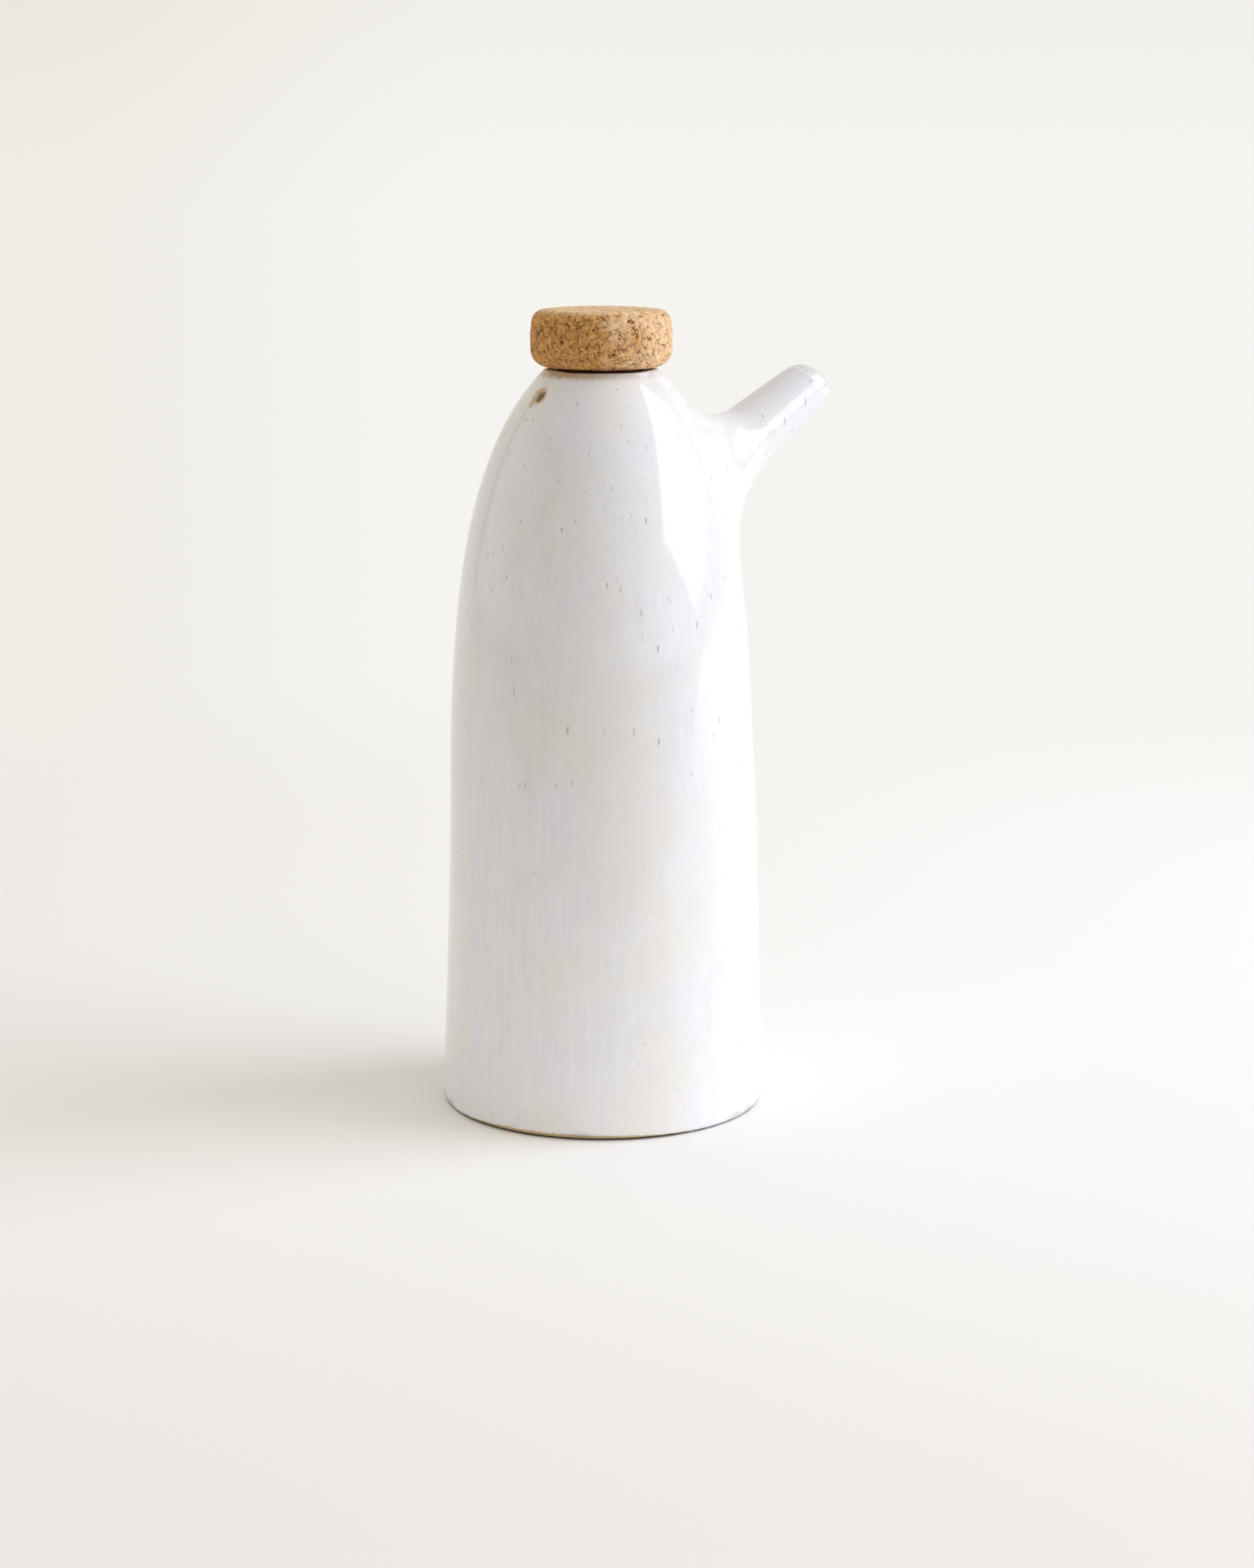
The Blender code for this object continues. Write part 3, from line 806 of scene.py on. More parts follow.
# %% Spout, woven into its window
spout_columns = len(window_edge(*spout_window))
spout_turns = [2.0 * math.pi * index / spout_columns for index in range(spout_columns)]
sweep_ring = []
for turn in spout_turns:
    sweep_ring.append(spot_on_wall(turn, SPOUT_ROOT_RADIUS + sweep_spread(turn), outside_curve))
sweep_start = fill_window(outer_wall, spout_window, 0, sweep_ring, 0.0)

spout_lines = []
for turn, (heading, length) in zip(spout_turns, sweep_ring):
    spout_lines.append(sweep_line(turn, heading, length) + lip_line(turn) + bore_line(turn))
spout_rows = keep_points(np.transpose(np.array(spout_lines), (1, 0, 2)))
weave([sweep_start] + list(spout_rows))
print("spout:", spout_rows.shape)

# %% Inner wall, with the pour hole
CORNER_HEIGHT = 0.0120
NECK_UNDERSIDE = 0.1749
ROWS_ABOVE_POUR_HOLE = 2
VENT_INNER_HALF = 6
VENT_INNER_ROWS = 4

inside_row_heights = np.interp(row_lengths, sample_lengths, inside_curve[0])
first_inner = int(np.searchsorted(inside_row_heights, CORNER_HEIGHT))
last_inner = int(np.searchsorted(inside_row_heights, NECK_UNDERSIDE))
inner_lengths = row_lengths[first_inner:last_inner + 1]
inner_wall = keep_points(wall_place(headings[None, :], inner_lengths[:, None], WALL_THICKNESS))

pour_radius = SPOUT_BORE_ROOT_RADIUS + POUR_HOLE_FLARE
pour_ring = [spot_on_wall(turn, pour_radius, inside_curve) for turn in spout_turns]
pour_rows = spout_columns // 2 - 2 * SPOUT_WINDOW_HALF
pour_top = len(inner_lengths) - ROWS_ABOVE_POUR_HOLE
pour_window = (0, SPOUT_WINDOW_HALF, pour_top - pour_rows, pour_top)
inner_top = len(inner_lengths) - 1
vent_inner = (vent_column, VENT_INNER_HALF, inner_top - VENT_INNER_ROWS, inner_top)
weave_grid(inner_wall, [pour_window, vent_inner])
pour_start = fill_window(inner_wall, pour_window, first_inner, pour_ring, WALL_THICKNESS)
weave([spout_rows[-1], pour_start])
print("inner wall:", inner_wall.shape, "windows:", pour_window, vent_inner)

# %% Vent hole through the wall
VENT_RADIUS = 0.0014
VENT_ROUNDING = 0.0006
VENT_WAVES = ((0.05, 2.0, 1.0, 0.0), (0.03, 3.0, 0.0, 0.0))
VENT_STEPS = 6
VENT_FILL_ROWS = 8
VENT_INNER_FILL_ROWS = 6

vent_length = length_at(VENT_HEIGHT)
vent_wall_radius = float(wall_curve(vent_length)[0])
vent_columns = len(window_edge(*vent_window))


def vent_ring(radius, depth):
    """Places around the vent, poked by hand and so not quite round."""
    ring = []
    for index in range(vent_columns):
        turn = 2.0 * math.pi * index / vent_columns
        reach = radius * (1.0 + float(hand_waves(turn, VENT_WAVES)))
        side = reach * math.sin(turn) / (vent_wall_radius - depth)
        ring.append((VENT_HEADING + side, vent_length + reach * math.cos(turn)))
    return ring


vent_edge = vent_ring(VENT_RADIUS + VENT_ROUNDING, 0.0)
vent_loops = [fill_window(outer_wall, vent_window, 0, vent_edge, 0.0, VENT_FILL_ROWS)]
for step in range(1, VENT_STEPS + 1):
    angle = 0.5 * math.pi * step / VENT_STEPS
    radius = VENT_RADIUS + VENT_ROUNDING * (1.0 - math.sin(angle))
    depth = VENT_ROUNDING * (1.0 - math.cos(angle))
    vent_loops.append(ring_at_depth(vent_ring(radius, depth), depth))
for step in range(1, VENT_STEPS):
    depth = VENT_ROUNDING + (WALL_THICKNESS - VENT_ROUNDING) * step / VENT_STEPS
    vent_loops.append(ring_at_depth(vent_ring(VENT_RADIUS, depth), depth))
inner_edge = vent_ring(VENT_RADIUS, WALL_THICKNESS)
vent_end = fill_window(inner_wall, vent_inner, first_inner, inner_edge, WALL_THICKNESS, VENT_INNER_FILL_ROWS)
weave(vent_loops + [vent_end])
print("vent hole", round(2.0 * VENT_RADIUS / MM, 1), "mm across at", round(VENT_HEIGHT / MM, 1), "mm up")

# %% Rim, neck and the cork's seat
RIM_HEIGHT = 0.1818
MOUTH_RADIUS = 0.0108
RIM_ROLL = 0.0006
# Steps in from the rim's and the mouth's radius, with their heights
RIM_EDGE = ((0.00012, 0.18143), (0.0004, 0.18163), (0.0008, 0.18175))
RIM_TOP = RIM_EDGE + ((0.0013, RIM_HEIGHT), (0.0020, RIM_HEIGHT))
MOUTH_SIDE = ((0.0001, 0.1798), (0.0002, 0.1780), (0.0003, 0.1766), (0.00035, 0.1759), (0.00015, 0.1755))


def turned_loops(line):
    """Round loops, leaning with the wall, for a line of (radius, height) pairs."""
    return [keep_points(around_axis(radius, headings, np.full(COLUMNS, height))) for radius, height in line]


def rounded_corner(radius, height, rounding, start, end, steps):
    """(radius, height) pairs along an arc, from one angle above level to another."""
    angles = [math.radians(start + (end - start) * step / steps) for step in range(steps + 1)]
    return [(radius + rounding * math.cos(angle), height + rounding * math.sin(angle)) for angle in angles]


rim_line = [(RIM_RADIUS - inset, height) for inset, height in RIM_TOP]
rim_line += rounded_corner(MOUTH_RADIUS + RIM_ROLL, RIM_HEIGHT - RIM_ROLL, RIM_ROLL, 90.0, 180.0, 6)
rim_line += [(MOUTH_RADIUS - inset, height) for inset, height in MOUTH_SIDE]
rim_loops = turned_loops(rim_line)
weave([outer_wall[-1]] + rim_loops + [inner_wall[-1]])
print("rim loops:", len(rim_loops))

# %% Inside floor
FLOOR_HEIGHT = 0.0060
FLOOR_RADII = (0.024, 0.018, 0.012, 0.006, 0.002)

corner_start = float(np.interp(inner_lengths[0], sample_lengths, inside_curve[0]))
corner_radius = float(np.interp(inner_lengths[0], sample_lengths, inside_curve[1]))
rounding = corner_start - FLOOR_HEIGHT
floor_line = rounded_corner(corner_radius - rounding, corner_start, rounding, 0.0, -90.0, 8)[1:]
floor_line += [(radius, FLOOR_HEIGHT) for radius in FLOOR_RADII]
floor_loops = turned_loops(floor_line)
weave([inner_wall[0]] + floor_loops)
print("inside floor", round(FLOOR_HEIGHT / MM, 1), "mm up")

# %% Bare foot
FOOT_RECESS = 0.0003
GLAZE_ROLL = ((0.03958, 0.00098), (0.03949, 0.00087), (0.03936, 0.00080), (0.03925, 0.00077))
CLAY_TOP = ((0.03921, 0.00070),)
CLAY_EDGE = ((0.03917, 0.00052), (0.03906, 0.00036), (0.03885, 0.00022), (0.03850, 0.00008), (0.03815, 0.0))
FOOT_RING = ((0.0372, 0.0), (0.0362, 0.0), (0.0354, 0.0001), (0.0345, FOOT_RECESS))
TURNING_RADII = np.linspace(0.0330, 0.0015, 44)
TURNING_MARK = 0.00004
TURNING_SPACING = 0.0016
WIDE_RUNS = ((0.00009, 5.0, 0.6, 0.0), (0.00006, 11.0, 2.0, 0.0))
NARROW_RUNS = ((0.00005, 29.0, 0.0, 0.0), (0.00003, 47.0, 1.0, 0.0))
CLAY_RAGGEDNESS = 0.8


def ragged_loops(line, raggedness):
    """Loops that rise and fall with the lower edge of the glaze, where it ran or was wiped."""
    loops = turned_loops(line)
    for number, heading in zip(np.ravel(loops), np.tile(headings, len(loops))):
        skin_points[number][2] += raggedness * float(hand_waves(heading, WIDE_RUNS + NARROW_RUNS))
    return loops


foot_loops = ragged_loops(GLAZE_ROLL, 1.0) + ragged_loops(CLAY_TOP, CLAY_RAGGEDNESS) + turned_loops(CLAY_EDGE)
underside = list(FOOT_RING)
for radius in TURNING_RADII:
    trail = TURNING_MARK * math.sin(radius / TURNING_SPACING * 2.0 * math.pi)
    underside.append((float(radius), FOOT_RECESS + trail))
foot_loops += turned_loops(underside)
weave([outer_wall[0]] + foot_loops)
for last_loop in (floor_loops[-1], foot_loops[-1]):
    keep_face(last_loop)
print("skin so far:", len(skin_points), "points,", len(skin_faces), "faces")

# %% [markdown]
# The skin also carries a painted value on its points, which the glaze finish reads later. It says where
# the glaze lies thin and lets the clay's tan through: around the vent and on the spout's lip.

# %% Make the vessel's mesh
THIN_RING_OFFSET = 0.0005
THIN_RING_WIDTH = 0.0011
LIP_THINNESS = (0.0, 0.1, 0.3, 0.5, 0.7, 0.75, 0.75, 0.75, 0.7, 0.6, 0.4, 0.3, 0.2, 0.1)
MILLILITRE = 1e-6


def paint_points(mesh, name, values):
    """Keeps one number for each point of a mesh, for the shader to read."""
    layer = mesh.attributes.new(name, "FLOAT", "POINT")
    layer.data.foreach_set("value", values.astype(np.float32))


vent_centre = wall_place(VENT_HEADING, vent_length)
from_vent = np.linalg.norm(np.array(skin_points) - vent_centre, axis=1)
thin = np.exp(-(((from_vent - VENT_RADIUS - THIN_RING_OFFSET) / THIN_RING_WIDTH) ** 2))
thin[from_vent < VENT_RADIUS] = 1.0
for row, thinness in enumerate(LIP_THINNESS, SWEEP_ROWS + TUBE_ROWS):
    thin[spout_rows[row]] = np.maximum(thin[spout_rows[row]], thinness)

vessel_mesh = bpy.data.meshes.new("glazed_vessel")
vessel_mesh.from_pydata(skin_points, [], skin_faces)
vessel_shape = bmesh.new()
vessel_shape.from_mesh(vessel_mesh)
bmesh.ops.recalc_face_normals(vessel_shape, faces=vessel_shape.faces)
open_edges = sum(1 for edge in vessel_shape.edges if not edge.is_manifold)
clay = vessel_shape.calc_volume() / MILLILITRE
vessel_shape.to_mesh(vessel_mesh)
vessel_shape.free()
paint_points(vessel_mesh, "thin_glaze", thin)
vessel_mesh.shade_smooth()
vessel = add_to_scene("glazed_vessel", vessel_mesh)
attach(vessel, "bottle")
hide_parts("foot", "belly", "shoulder", "neck", "spout")
print("vessel:", len(vessel_mesh.vertices), "points, open edges:", open_edges, "clay:", round(clay, 1), "ml")

# %% [markdown]
# ## The glaze
#
# The glaze is an off-white gloss over pale stoneware. Close up it isn't one colour: soft patches drift
# between a warm grey and a faint mauve, and very faint streaks and brush strokes follow the run of the
# glaze. The glaze on the spout is painted greyer, as painted shade, and the coat is thin and beige at
# its lip. The chain starts with the large patches and multiplies finer and finer tones over them, each
# from a noise of its own scale. A noise that is squeezed along the height draws out into streaks.

# %% Colour of the glaze
GLAZE_WARM = (0.840, 0.822, 0.792, 1.0)
GLAZE_COOL = (0.850, 0.836, 0.866, 1.0)
SPOUT_PAINTED_SHADE = (0.700, 0.695, 0.710, 1.0)
LIP_BEIGE = (0.74, 0.69, 0.56, 1.0)
# A noise is given by its scale, detail and roughness
PATCHES = (48.0, 3.0, 0.5)
STREAKS = (330.0, 3.0, 0.5)
BRUSH_STROKES = (1300.0, 2.0, 0.5)
CLOUDS = (150.0, 4.0, 0.6)
STREAK_SQUEEZE = 0.07
BRUSH_SQUEEZE = 0.045
# A range is given by its low and high value, then by what they turn into
PATCH_RANGE = (0.38, 0.62)
STREAK_TONES = (0.3, 0.7, 0.987, 1.010)
BRUSH_TONES = (0.3, 0.7, -0.030, 0.016)
BRUSHED_PATCHES = (0.42, 0.58)
CLOUD_TONES = (0.35, 0.65, 0.988, 1.008)
SHADE_TOWARDS_SPOUT = (0.038, 0.052, 0.0, 0.42)
BEIGE_TOWARDS_LIP = (0.0645, 0.0675, 0.0, 0.6)


def noise(tree, place, scale, detail, roughness=0.5):
    inputs = {"Vector": place, "Scale": scale, "Detail": detail, "Roughness": roughness}
    return add_node(tree, "ShaderNodeTexNoise", inputs).outputs["Fac"]


def squeezed(tree, place, squeeze):
    """The same places with their heights squeezed, which draws a pattern out upwards."""
    inputs = {"Vector": place, "Scale": (1.0, 1.0, squeeze)}
    return add_node(tree, "ShaderNodeMapping", inputs).outputs["Vector"]


def tint(tree, colour, tone):
    """Makes a colour lighter or darker by a tone that varies over the surface."""
    grey = add_node(tree, "ShaderNodeCombineColor", {"Red": tone, "Green": tone, "Blue": tone})
    return mix_colour(tree, 1.0, colour, grey.outputs["Color"], "MULTIPLY")


glaze, tree = new_material("off_white_glaze")
place = add_node(tree, "ShaderNodeTexCoord").outputs["Object"]
patches = noise(tree, place, *PATCHES)
glaze_colour = mix_colour(tree, remap(tree, patches, *PATCH_RANGE), GLAZE_WARM, GLAZE_COOL)
streaks = noise(tree, squeezed(tree, place, STREAK_SQUEEZE), *STREAKS)
glaze_colour = tint(tree, glaze_colour, remap(tree, streaks, *STREAK_TONES))
strokes = noise(tree, squeezed(tree, place, BRUSH_SQUEEZE), *BRUSH_STROKES)
brushed = product(tree, remap(tree, strokes, *BRUSH_TONES), remap(tree, patches, *BRUSHED_PATCHES))
glaze_colour = tint(tree, glaze_colour, total(tree, brushed, 1.0))
glaze_colour = tint(tree, glaze_colour, remap(tree, noise(tree, place, *CLOUDS), *CLOUD_TONES))
towards_spout, _, up = add_node(tree, "ShaderNodeSeparateXYZ", {"Vector": place}).outputs
# Painted shade: the glaze on the spout is painted greyer, which darkens its lit underside
glaze_colour = mix_colour(tree, remap(tree, towards_spout, *SHADE_TOWARDS_SPOUT), glaze_colour, SPOUT_PAINTED_SHADE)
glaze_colour = mix_colour(tree, remap(tree, towards_spout, *BEIGE_TOWARDS_LIP), glaze_colour, LIP_BEIGE)
print("glaze runs from", GLAZE_WARM[:3], "to", GLAZE_COOL[:3])

# %% [markdown]
# Small grey dashes, a third of a millimetre wide and a millimetre or two tall, run up the wall: few near
# the foot, many on the shoulder. They are slips of the brush that the glaze has half closed. They come
# from a pattern of scattered cells, squeezed so that each one stands upright. Turning the pattern a
# little more the higher it lies makes the dashes lean, all the way round the bottle. Each cell has a
# colour of chance, and we read it as numbers that pick which cells carry a mark and how faint it is.

# %% Dashes and pinholes in the glaze
FLECK_COLOUR = (0.34, 0.315, 0.30, 1.0)
FLECK_LEAN = 1.6
FLECK_SQUEEZE = 0.20
FLECK_SCALE = 560.0
FLECK_SIZE = (0.17, 0.07)
FLECKS_FEWER_BELOW = (0.045, 0.140, 0.93, 0.50)
FAINTEST_FLECK = 0.30
FLECK_STRENGTH = 0.75
PINHOLE_COLOUR = (0.22, 0.17, 0.13, 1.0)
PINHOLE_SCALE = 230.0
PINHOLE_SIZE = (0.055, 0.03)
PINHOLE_LIMIT = 0.88
PINHOLE_STRENGTH = 0.55
SIDE_RADIUS = 0.038


def between(tree, share, low, high):
    """Runs straight from low to high as a share runs from 0 to 1."""
    return remap(tree, share, 0.0, 1.0, low, high, smooth=False)


def scattered_marks(tree, place, scale, size, chance_number, limit):
    """Marks in the cells whose chance number is above a limit, and all the chance numbers."""
    cells = add_node(tree, "ShaderNodeTexVoronoi", {"Vector": place, "Scale": scale})
    numbers = add_node(tree, "ShaderNodeSeparateColor", {"Color": cells.outputs["Color"]}).outputs
    chosen = calculate(tree, "GREATER_THAN", numbers[chance_number], limit)
    return product(tree, remap(tree, cells.outputs["Distance"], *size), chosen), numbers


twist = {"Vector": place, "Angle": product(tree, up, -FLECK_LEAN)}
twisted = add_node(tree, "ShaderNodeVectorRotate", twist, rotation_type="Z_AXIS").outputs["Vector"]
fleck_place = squeezed(tree, twisted, FLECK_SQUEEZE)
fleck_limit = remap(tree, up, *FLECKS_FEWER_BELOW)
fleck, numbers = scattered_marks(tree, fleck_place, FLECK_SCALE, FLECK_SIZE, "Red", fleck_limit)
fleck = product(tree, fleck, between(tree, numbers["Green"], FAINTEST_FLECK, 1.0))
glaze_colour = mix_colour(tree, product(tree, fleck, FLECK_STRENGTH), glaze_colour, FLECK_COLOUR)
pinhole, _ = scattered_marks(tree, place, PINHOLE_SCALE, PINHOLE_SIZE, "Blue", PINHOLE_LIMIT)
glaze_colour = mix_colour(tree, product(tree, pinhole, PINHOLE_STRENGTH), glaze_colour, PINHOLE_COLOUR)
marks = calculate(tree, "MAXIMUM", fleck, pinhole)
print("glaze dashes lean", round(math.degrees(math.atan(FLECK_LEAN * SIDE_RADIUS))), "degrees on the side")

# %% [markdown]
# Three places show tan through thin glaze: the rim under the cork, the lip of the spout and the edge of
# the vent, with a dab below it where a finger touched the wet glaze. On the rim the tan is partly thin
# glaze and partly a painted reflection of the cork, and painted mauve-grey shade lies on the same band. A
# little noise makes their edges wander. Right under the cork the rim is painted dark brown, as painted
# shade in the gap under the cork. The foot is bare clay, with dark specks where the glaze ends and a dark
# line of painted shadow where it meets the table.

# %% Thin glaze on the rim, the lip and the vent
GLAZE_TAN = (0.60, 0.40, 0.20, 1.0)
RIM_PAINTED_SHADE = (0.56, 0.49, 0.46, 1.0)
WANDER_NOISE = (900.0, 4.0, 0.6)
WANDER_RANGE = (0.3, 0.7)
RIM_WANDER = 0.0002
EDGE_WANDER = 0.28
RIM_SHADE_HEIGHTS = (0.1795, 0.1810)
RIM_SHADE_SIDEWAYS = (0.018, -0.002, 0.35, 0.85)
RIM_TAN_AND_REFLECTION_HEIGHTS = (0.1795, 0.1805)
RIM_TAN_AND_REFLECTION_SIDEWAYS = (-0.006, 0.006, 1.0, 0.0)
RIM_THINNESS = 0.9
VENT_DAB = (-0.0011, 0.0023)
DAB_FADE = (0.00225, 0.0006)
THIN_RANGE = (0.45, 1.10, 0.0, 0.88)

wander = noise(tree, place, *WANDER_NOISE)


def wandering(reach):
    """A ragged shift of up to a reach either way."""
    return remap(tree, wander, *WANDER_RANGE, -reach, reach, smooth=False)


to_right = run_along(tree, place, picture_right)
rim_edge = total(tree, up, wandering(RIM_WANDER))
# Painted shade: a mauve-grey band on the rim under the cork, weaker towards the right
rim_painted_shade = product(tree, remap(tree, rim_edge, *RIM_SHADE_HEIGHTS), remap(tree, to_right, *RIM_SHADE_SIDEWAYS))
glaze_colour = mix_colour(tree, rim_painted_shade, glaze_colour, RIM_PAINTED_SHADE)
# Partly thin glaze and partly a painted reflection of the cork: a tan band on the rim under the cork, on its
# left side only
rim_tan_and_painted_reflection = product(tree, remap(tree, rim_edge, *RIM_TAN_AND_REFLECTION_HEIGHTS), remap(tree, to_right, *RIM_TAN_AND_REFLECTION_SIDEWAYS))
vent_dab = Vector(wall_place(VENT_HEADING + VENT_DAB[0] / vent_wall_radius, vent_length - VENT_DAB[1]))
from_dab = add_node(tree, "ShaderNodeVectorMath", {0: place, 1: vent_dab}, operation="DISTANCE")
thinness = calculate(
    tree,
    "MAXIMUM",
    add_node(tree, "ShaderNodeAttribute", attribute_name="thin_glaze").outputs["Fac"],
    product(tree, rim_tan_and_painted_reflection, RIM_THINNESS),
    remap(tree, from_dab.outputs["Value"], *DAB_FADE),
)
tan_share = remap(tree, total(tree, thinness, wandering(EDGE_WANDER)), *THIN_RANGE)
glaze_colour = mix_colour(tree, tan_share, glaze_colour, GLAZE_TAN)
print("dab below the vent at", tuple(round(value / MM, 1) for value in vent_dab), "mm")

# %% Bare clay on the foot
CLAY_COLOUR = (0.58, 0.44, 0.24, 1.0)
CLAY_SPECK = (0.24, 0.14, 0.07, 1.0)
CONTACT_PAINTED_SHADOW = (0.040, 0.024, 0.013, 1.0)
CLAY_GRAIN = (1500.0, 6.0, 0.65)
CLAY_SPECKS = (0.62, 0.70)
CONTACT_SHADOW_HEIGHTS = (0.00075, 0.00045)
BAND_TURN = math.radians(-17.0)
BAND_HEIGHTS = (0.024, 0.039, 0.00045, 0.00135)
BAND_SOFTNESS = 0.0003
BARE_RANGE = (0.42, 0.58)
END_STARTS = (0.10, 0.42)
END_STOPS = (0.70, 0.45)
END_SPECKS = (0.54, 0.62)
END_STRENGTH = 0.8

clay_grain = noise(tree, place, *CLAY_GRAIN)
clay_colour = mix_colour(tree, remap(tree, clay_grain, *CLAY_SPECKS), CLAY_COLOUR, CLAY_SPECK)
# Painted shadow: the lowest half millimetre of the bare foot turns dark where it meets the table
clay_colour = mix_colour(tree, remap(tree, up, *CONTACT_SHADOW_HEIGHTS), clay_colour, CONTACT_PAINTED_SHADOW)
towards_wide_band = run_along(tree, place, direction_from_bottle(BAND_TURN, 0.0))
above_band = calculate(tree, "SUBTRACT", up, remap(tree, towards_wide_band, *BAND_HEIGHTS))
bareness = remap(tree, above_band, BAND_SOFTNESS, -BAND_SOFTNESS, smooth=False)
bareness = total(tree, bareness, wandering(EDGE_WANDER))
end_specks = product(
    tree,
    remap(tree, bareness, *END_STARTS),
    remap(tree, bareness, *END_STOPS),
    remap(tree, clay_grain, *END_SPECKS),
    END_STRENGTH,
)
glaze_colour = mix_colour(tree, end_specks, glaze_colour, CLAY_SPECK)
bare_share = remap(tree, bareness, *BARE_RANGE)
surface_colour = mix_colour(tree, bare_share, glaze_colour, clay_colour)
print("bare clay up to", BAND_HEIGHTS[-1] / MM, "mm")

# %% Painted shade under the cork, relief and gloss of the glaze
UNDER_CORK_PAINTED_SHADE = (0.045, 0.016, 0.008, 1.0)
UNDER_CORK_SHADE_HEIGHTS = (0.18130, 0.18150)
UNDER_CORK_SHADE_LIFT = (0.007, 0.014, 0.0, -0.0005)
GLAZE_ROUGHNESS = 0.08
CLAY_ROUGHNESS = 0.85
GLAZE_IOR = 1.5
RIPPLES = (160.0, 2.0)
RIPPLE_SQUEEZE = 0.35
# A relief is given by its strength and its height in metres
RIPPLE_RELIEF = (0.35, 0.0001)
MARK_RELIEF = (0.7, 0.0001)
CLAY_RELIEF = (0.8, 0.0002)


def add_relief(tree, height, strength, distance, normal=None):
    """Adds a relief on top of the one that a normal already holds."""
    inputs = {"Height": height, "Strength": strength, "Distance": distance}
    if normal is not None:
        inputs["Normal"] = normal
    return add_node(tree, "ShaderNodeBump", inputs).outputs["Normal"]


# Painted shade: the rim right under the cork is painted dark brown for the shade in the gap there, starting
# higher up on the sides
under_cork_shade_edge = total(tree, up, remap(tree, calculate(tree, "ABSOLUTE", to_right, 0.0), *UNDER_CORK_SHADE_LIFT))
surface_colour = mix_colour(tree, remap(tree, under_cork_shade_edge, *UNDER_CORK_SHADE_HEIGHTS), surface_colour, UNDER_CORK_PAINTED_SHADE)
ripples = noise(tree, squeezed(tree, place, RIPPLE_SQUEEZE), *RIPPLES)
relief = add_relief(tree, ripples, *RIPPLE_RELIEF)
relief = add_relief(tree, calculate(tree, "SUBTRACT", 1.0, marks), *MARK_RELIEF, relief)
relief = add_relief(tree, product(tree, clay_grain, bare_share), *CLAY_RELIEF, relief)
glaze_shader = add_node(tree, "ShaderNodeBsdfPrincipled", {
    "Base Color": surface_colour,
    "Roughness": between(tree, bare_share, GLAZE_ROUGHNESS, CLAY_ROUGHNESS),
    "Normal": relief,
    "IOR": GLAZE_IOR,
})
end_chain(tree, glaze_shader)
vessel_mesh.materials.append(glaze)
print("glaze finish on", vessel.name)

# %% [markdown]
# ## The cork
#
# The stopper is pressed cork: granules of one to four millimetres, glued and ground to shape. Its colour
# is a mosaic of tans, with dark crevices where granules meet badly and small holes where one fell out.
# We scatter granule centres through the block and ask of every point of the skin which centre is
# nearest and which comes next. Where the two are equally near runs a joint between granules. That one
# question gives the shape of the crevices and the colour of each granule together. Large whole numbers
# turn each pair of neighbours into a number of chance, which says how far their joint stands open.

# %% Granules of pressed cork
CHANCE_SEED = 7
GRANULE_SPACING = 0.00155
GRANULE_SHAKE = 0.75
JOINT_WIDTH = 0.00016
PAIR_FACTORS = (7919, 104729)
PAIR_KINDS = 1009
OPENNESS_SPREAD = 1.9
OPENNESS_LEFT_OUT = 0.75
chance = np.random.default_rng(CHANCE_SEED)


def scatter_granules(low, high):
    """Centres of granules on a shaken grid through a box."""
    counts = np.ceil((high - low) / GRANULE_SPACING).astype(int) + 1
    grid = np.stack(np.meshgrid(*[np.arange(count) for count in counts], indexing="ij"), axis=-1)
    centres = low + grid.reshape(-1, 3) * GRANULE_SPACING
    return centres + chance.uniform(-GRANULE_SHAKE, GRANULE_SHAKE, centres.shape) * GRANULE_SPACING


def read_granules(points, centres):
    """Nearest granule of each point, its share of the joint and the joint's openness."""
    tree_of_centres = KDTree(len(centres))
    for index, centre in enumerate(centres):
        tree_of_centres.insert(centre, index)
    tree_of_centres.balance()
    nearest = np.zeros(len(points), dtype=int)
    second = np.zeros(len(points), dtype=int)
    gap = np.zeros(len(points))
    for index, point in enumerate(points):
        (_, first_index, first_reach), (_, second_index, second_reach) = tree_of_centres.find_n(point, 2)
        nearest[index], second[index] = first_index, second_index
        gap[index] = second_reach - first_reach
    pair = np.minimum(nearest, second) * PAIR_FACTORS[0] + np.maximum(nearest, second) * PAIR_FACTORS[1]
    openness = (pair % PAIR_KINDS) / PAIR_KINDS * OPENNESS_SPREAD - OPENNESS_LEFT_OUT
    return nearest, np.exp(-((gap / JOINT_WIDTH) ** 2)), np.clip(openness, 0.0, 1.0)


print("granules about", GRANULE_SPACING / MM, "mm apart")


# %% A turned cork skin
def walk_profile(corners, step):
    """Even steps along a line of (radius, height) corners."""
    corners = np.array(corners)
    lengths = np.concatenate(([0.0], np.cumsum(np.hypot(*np.diff(corners, axis=0).T))))
    places = np.linspace(0.0, lengths[-1], int(lengths[-1] / step) + 1)
    return np.interp(places, lengths, corners[:, 0]), np.interp(places, lengths, corners[:, 1])


def turned_rings(radii, heights, columns):
    """A ring of points or directions for each pair of a radius and a height."""
    turns = 2.0 * math.pi * np.arange(columns) / columns
    radii, heights = radii[:, None], heights[:, None]
    return np.stack(np.broadcast_arrays(radii * np.cos(turns), radii * np.sin(turns), heights), axis=-1)


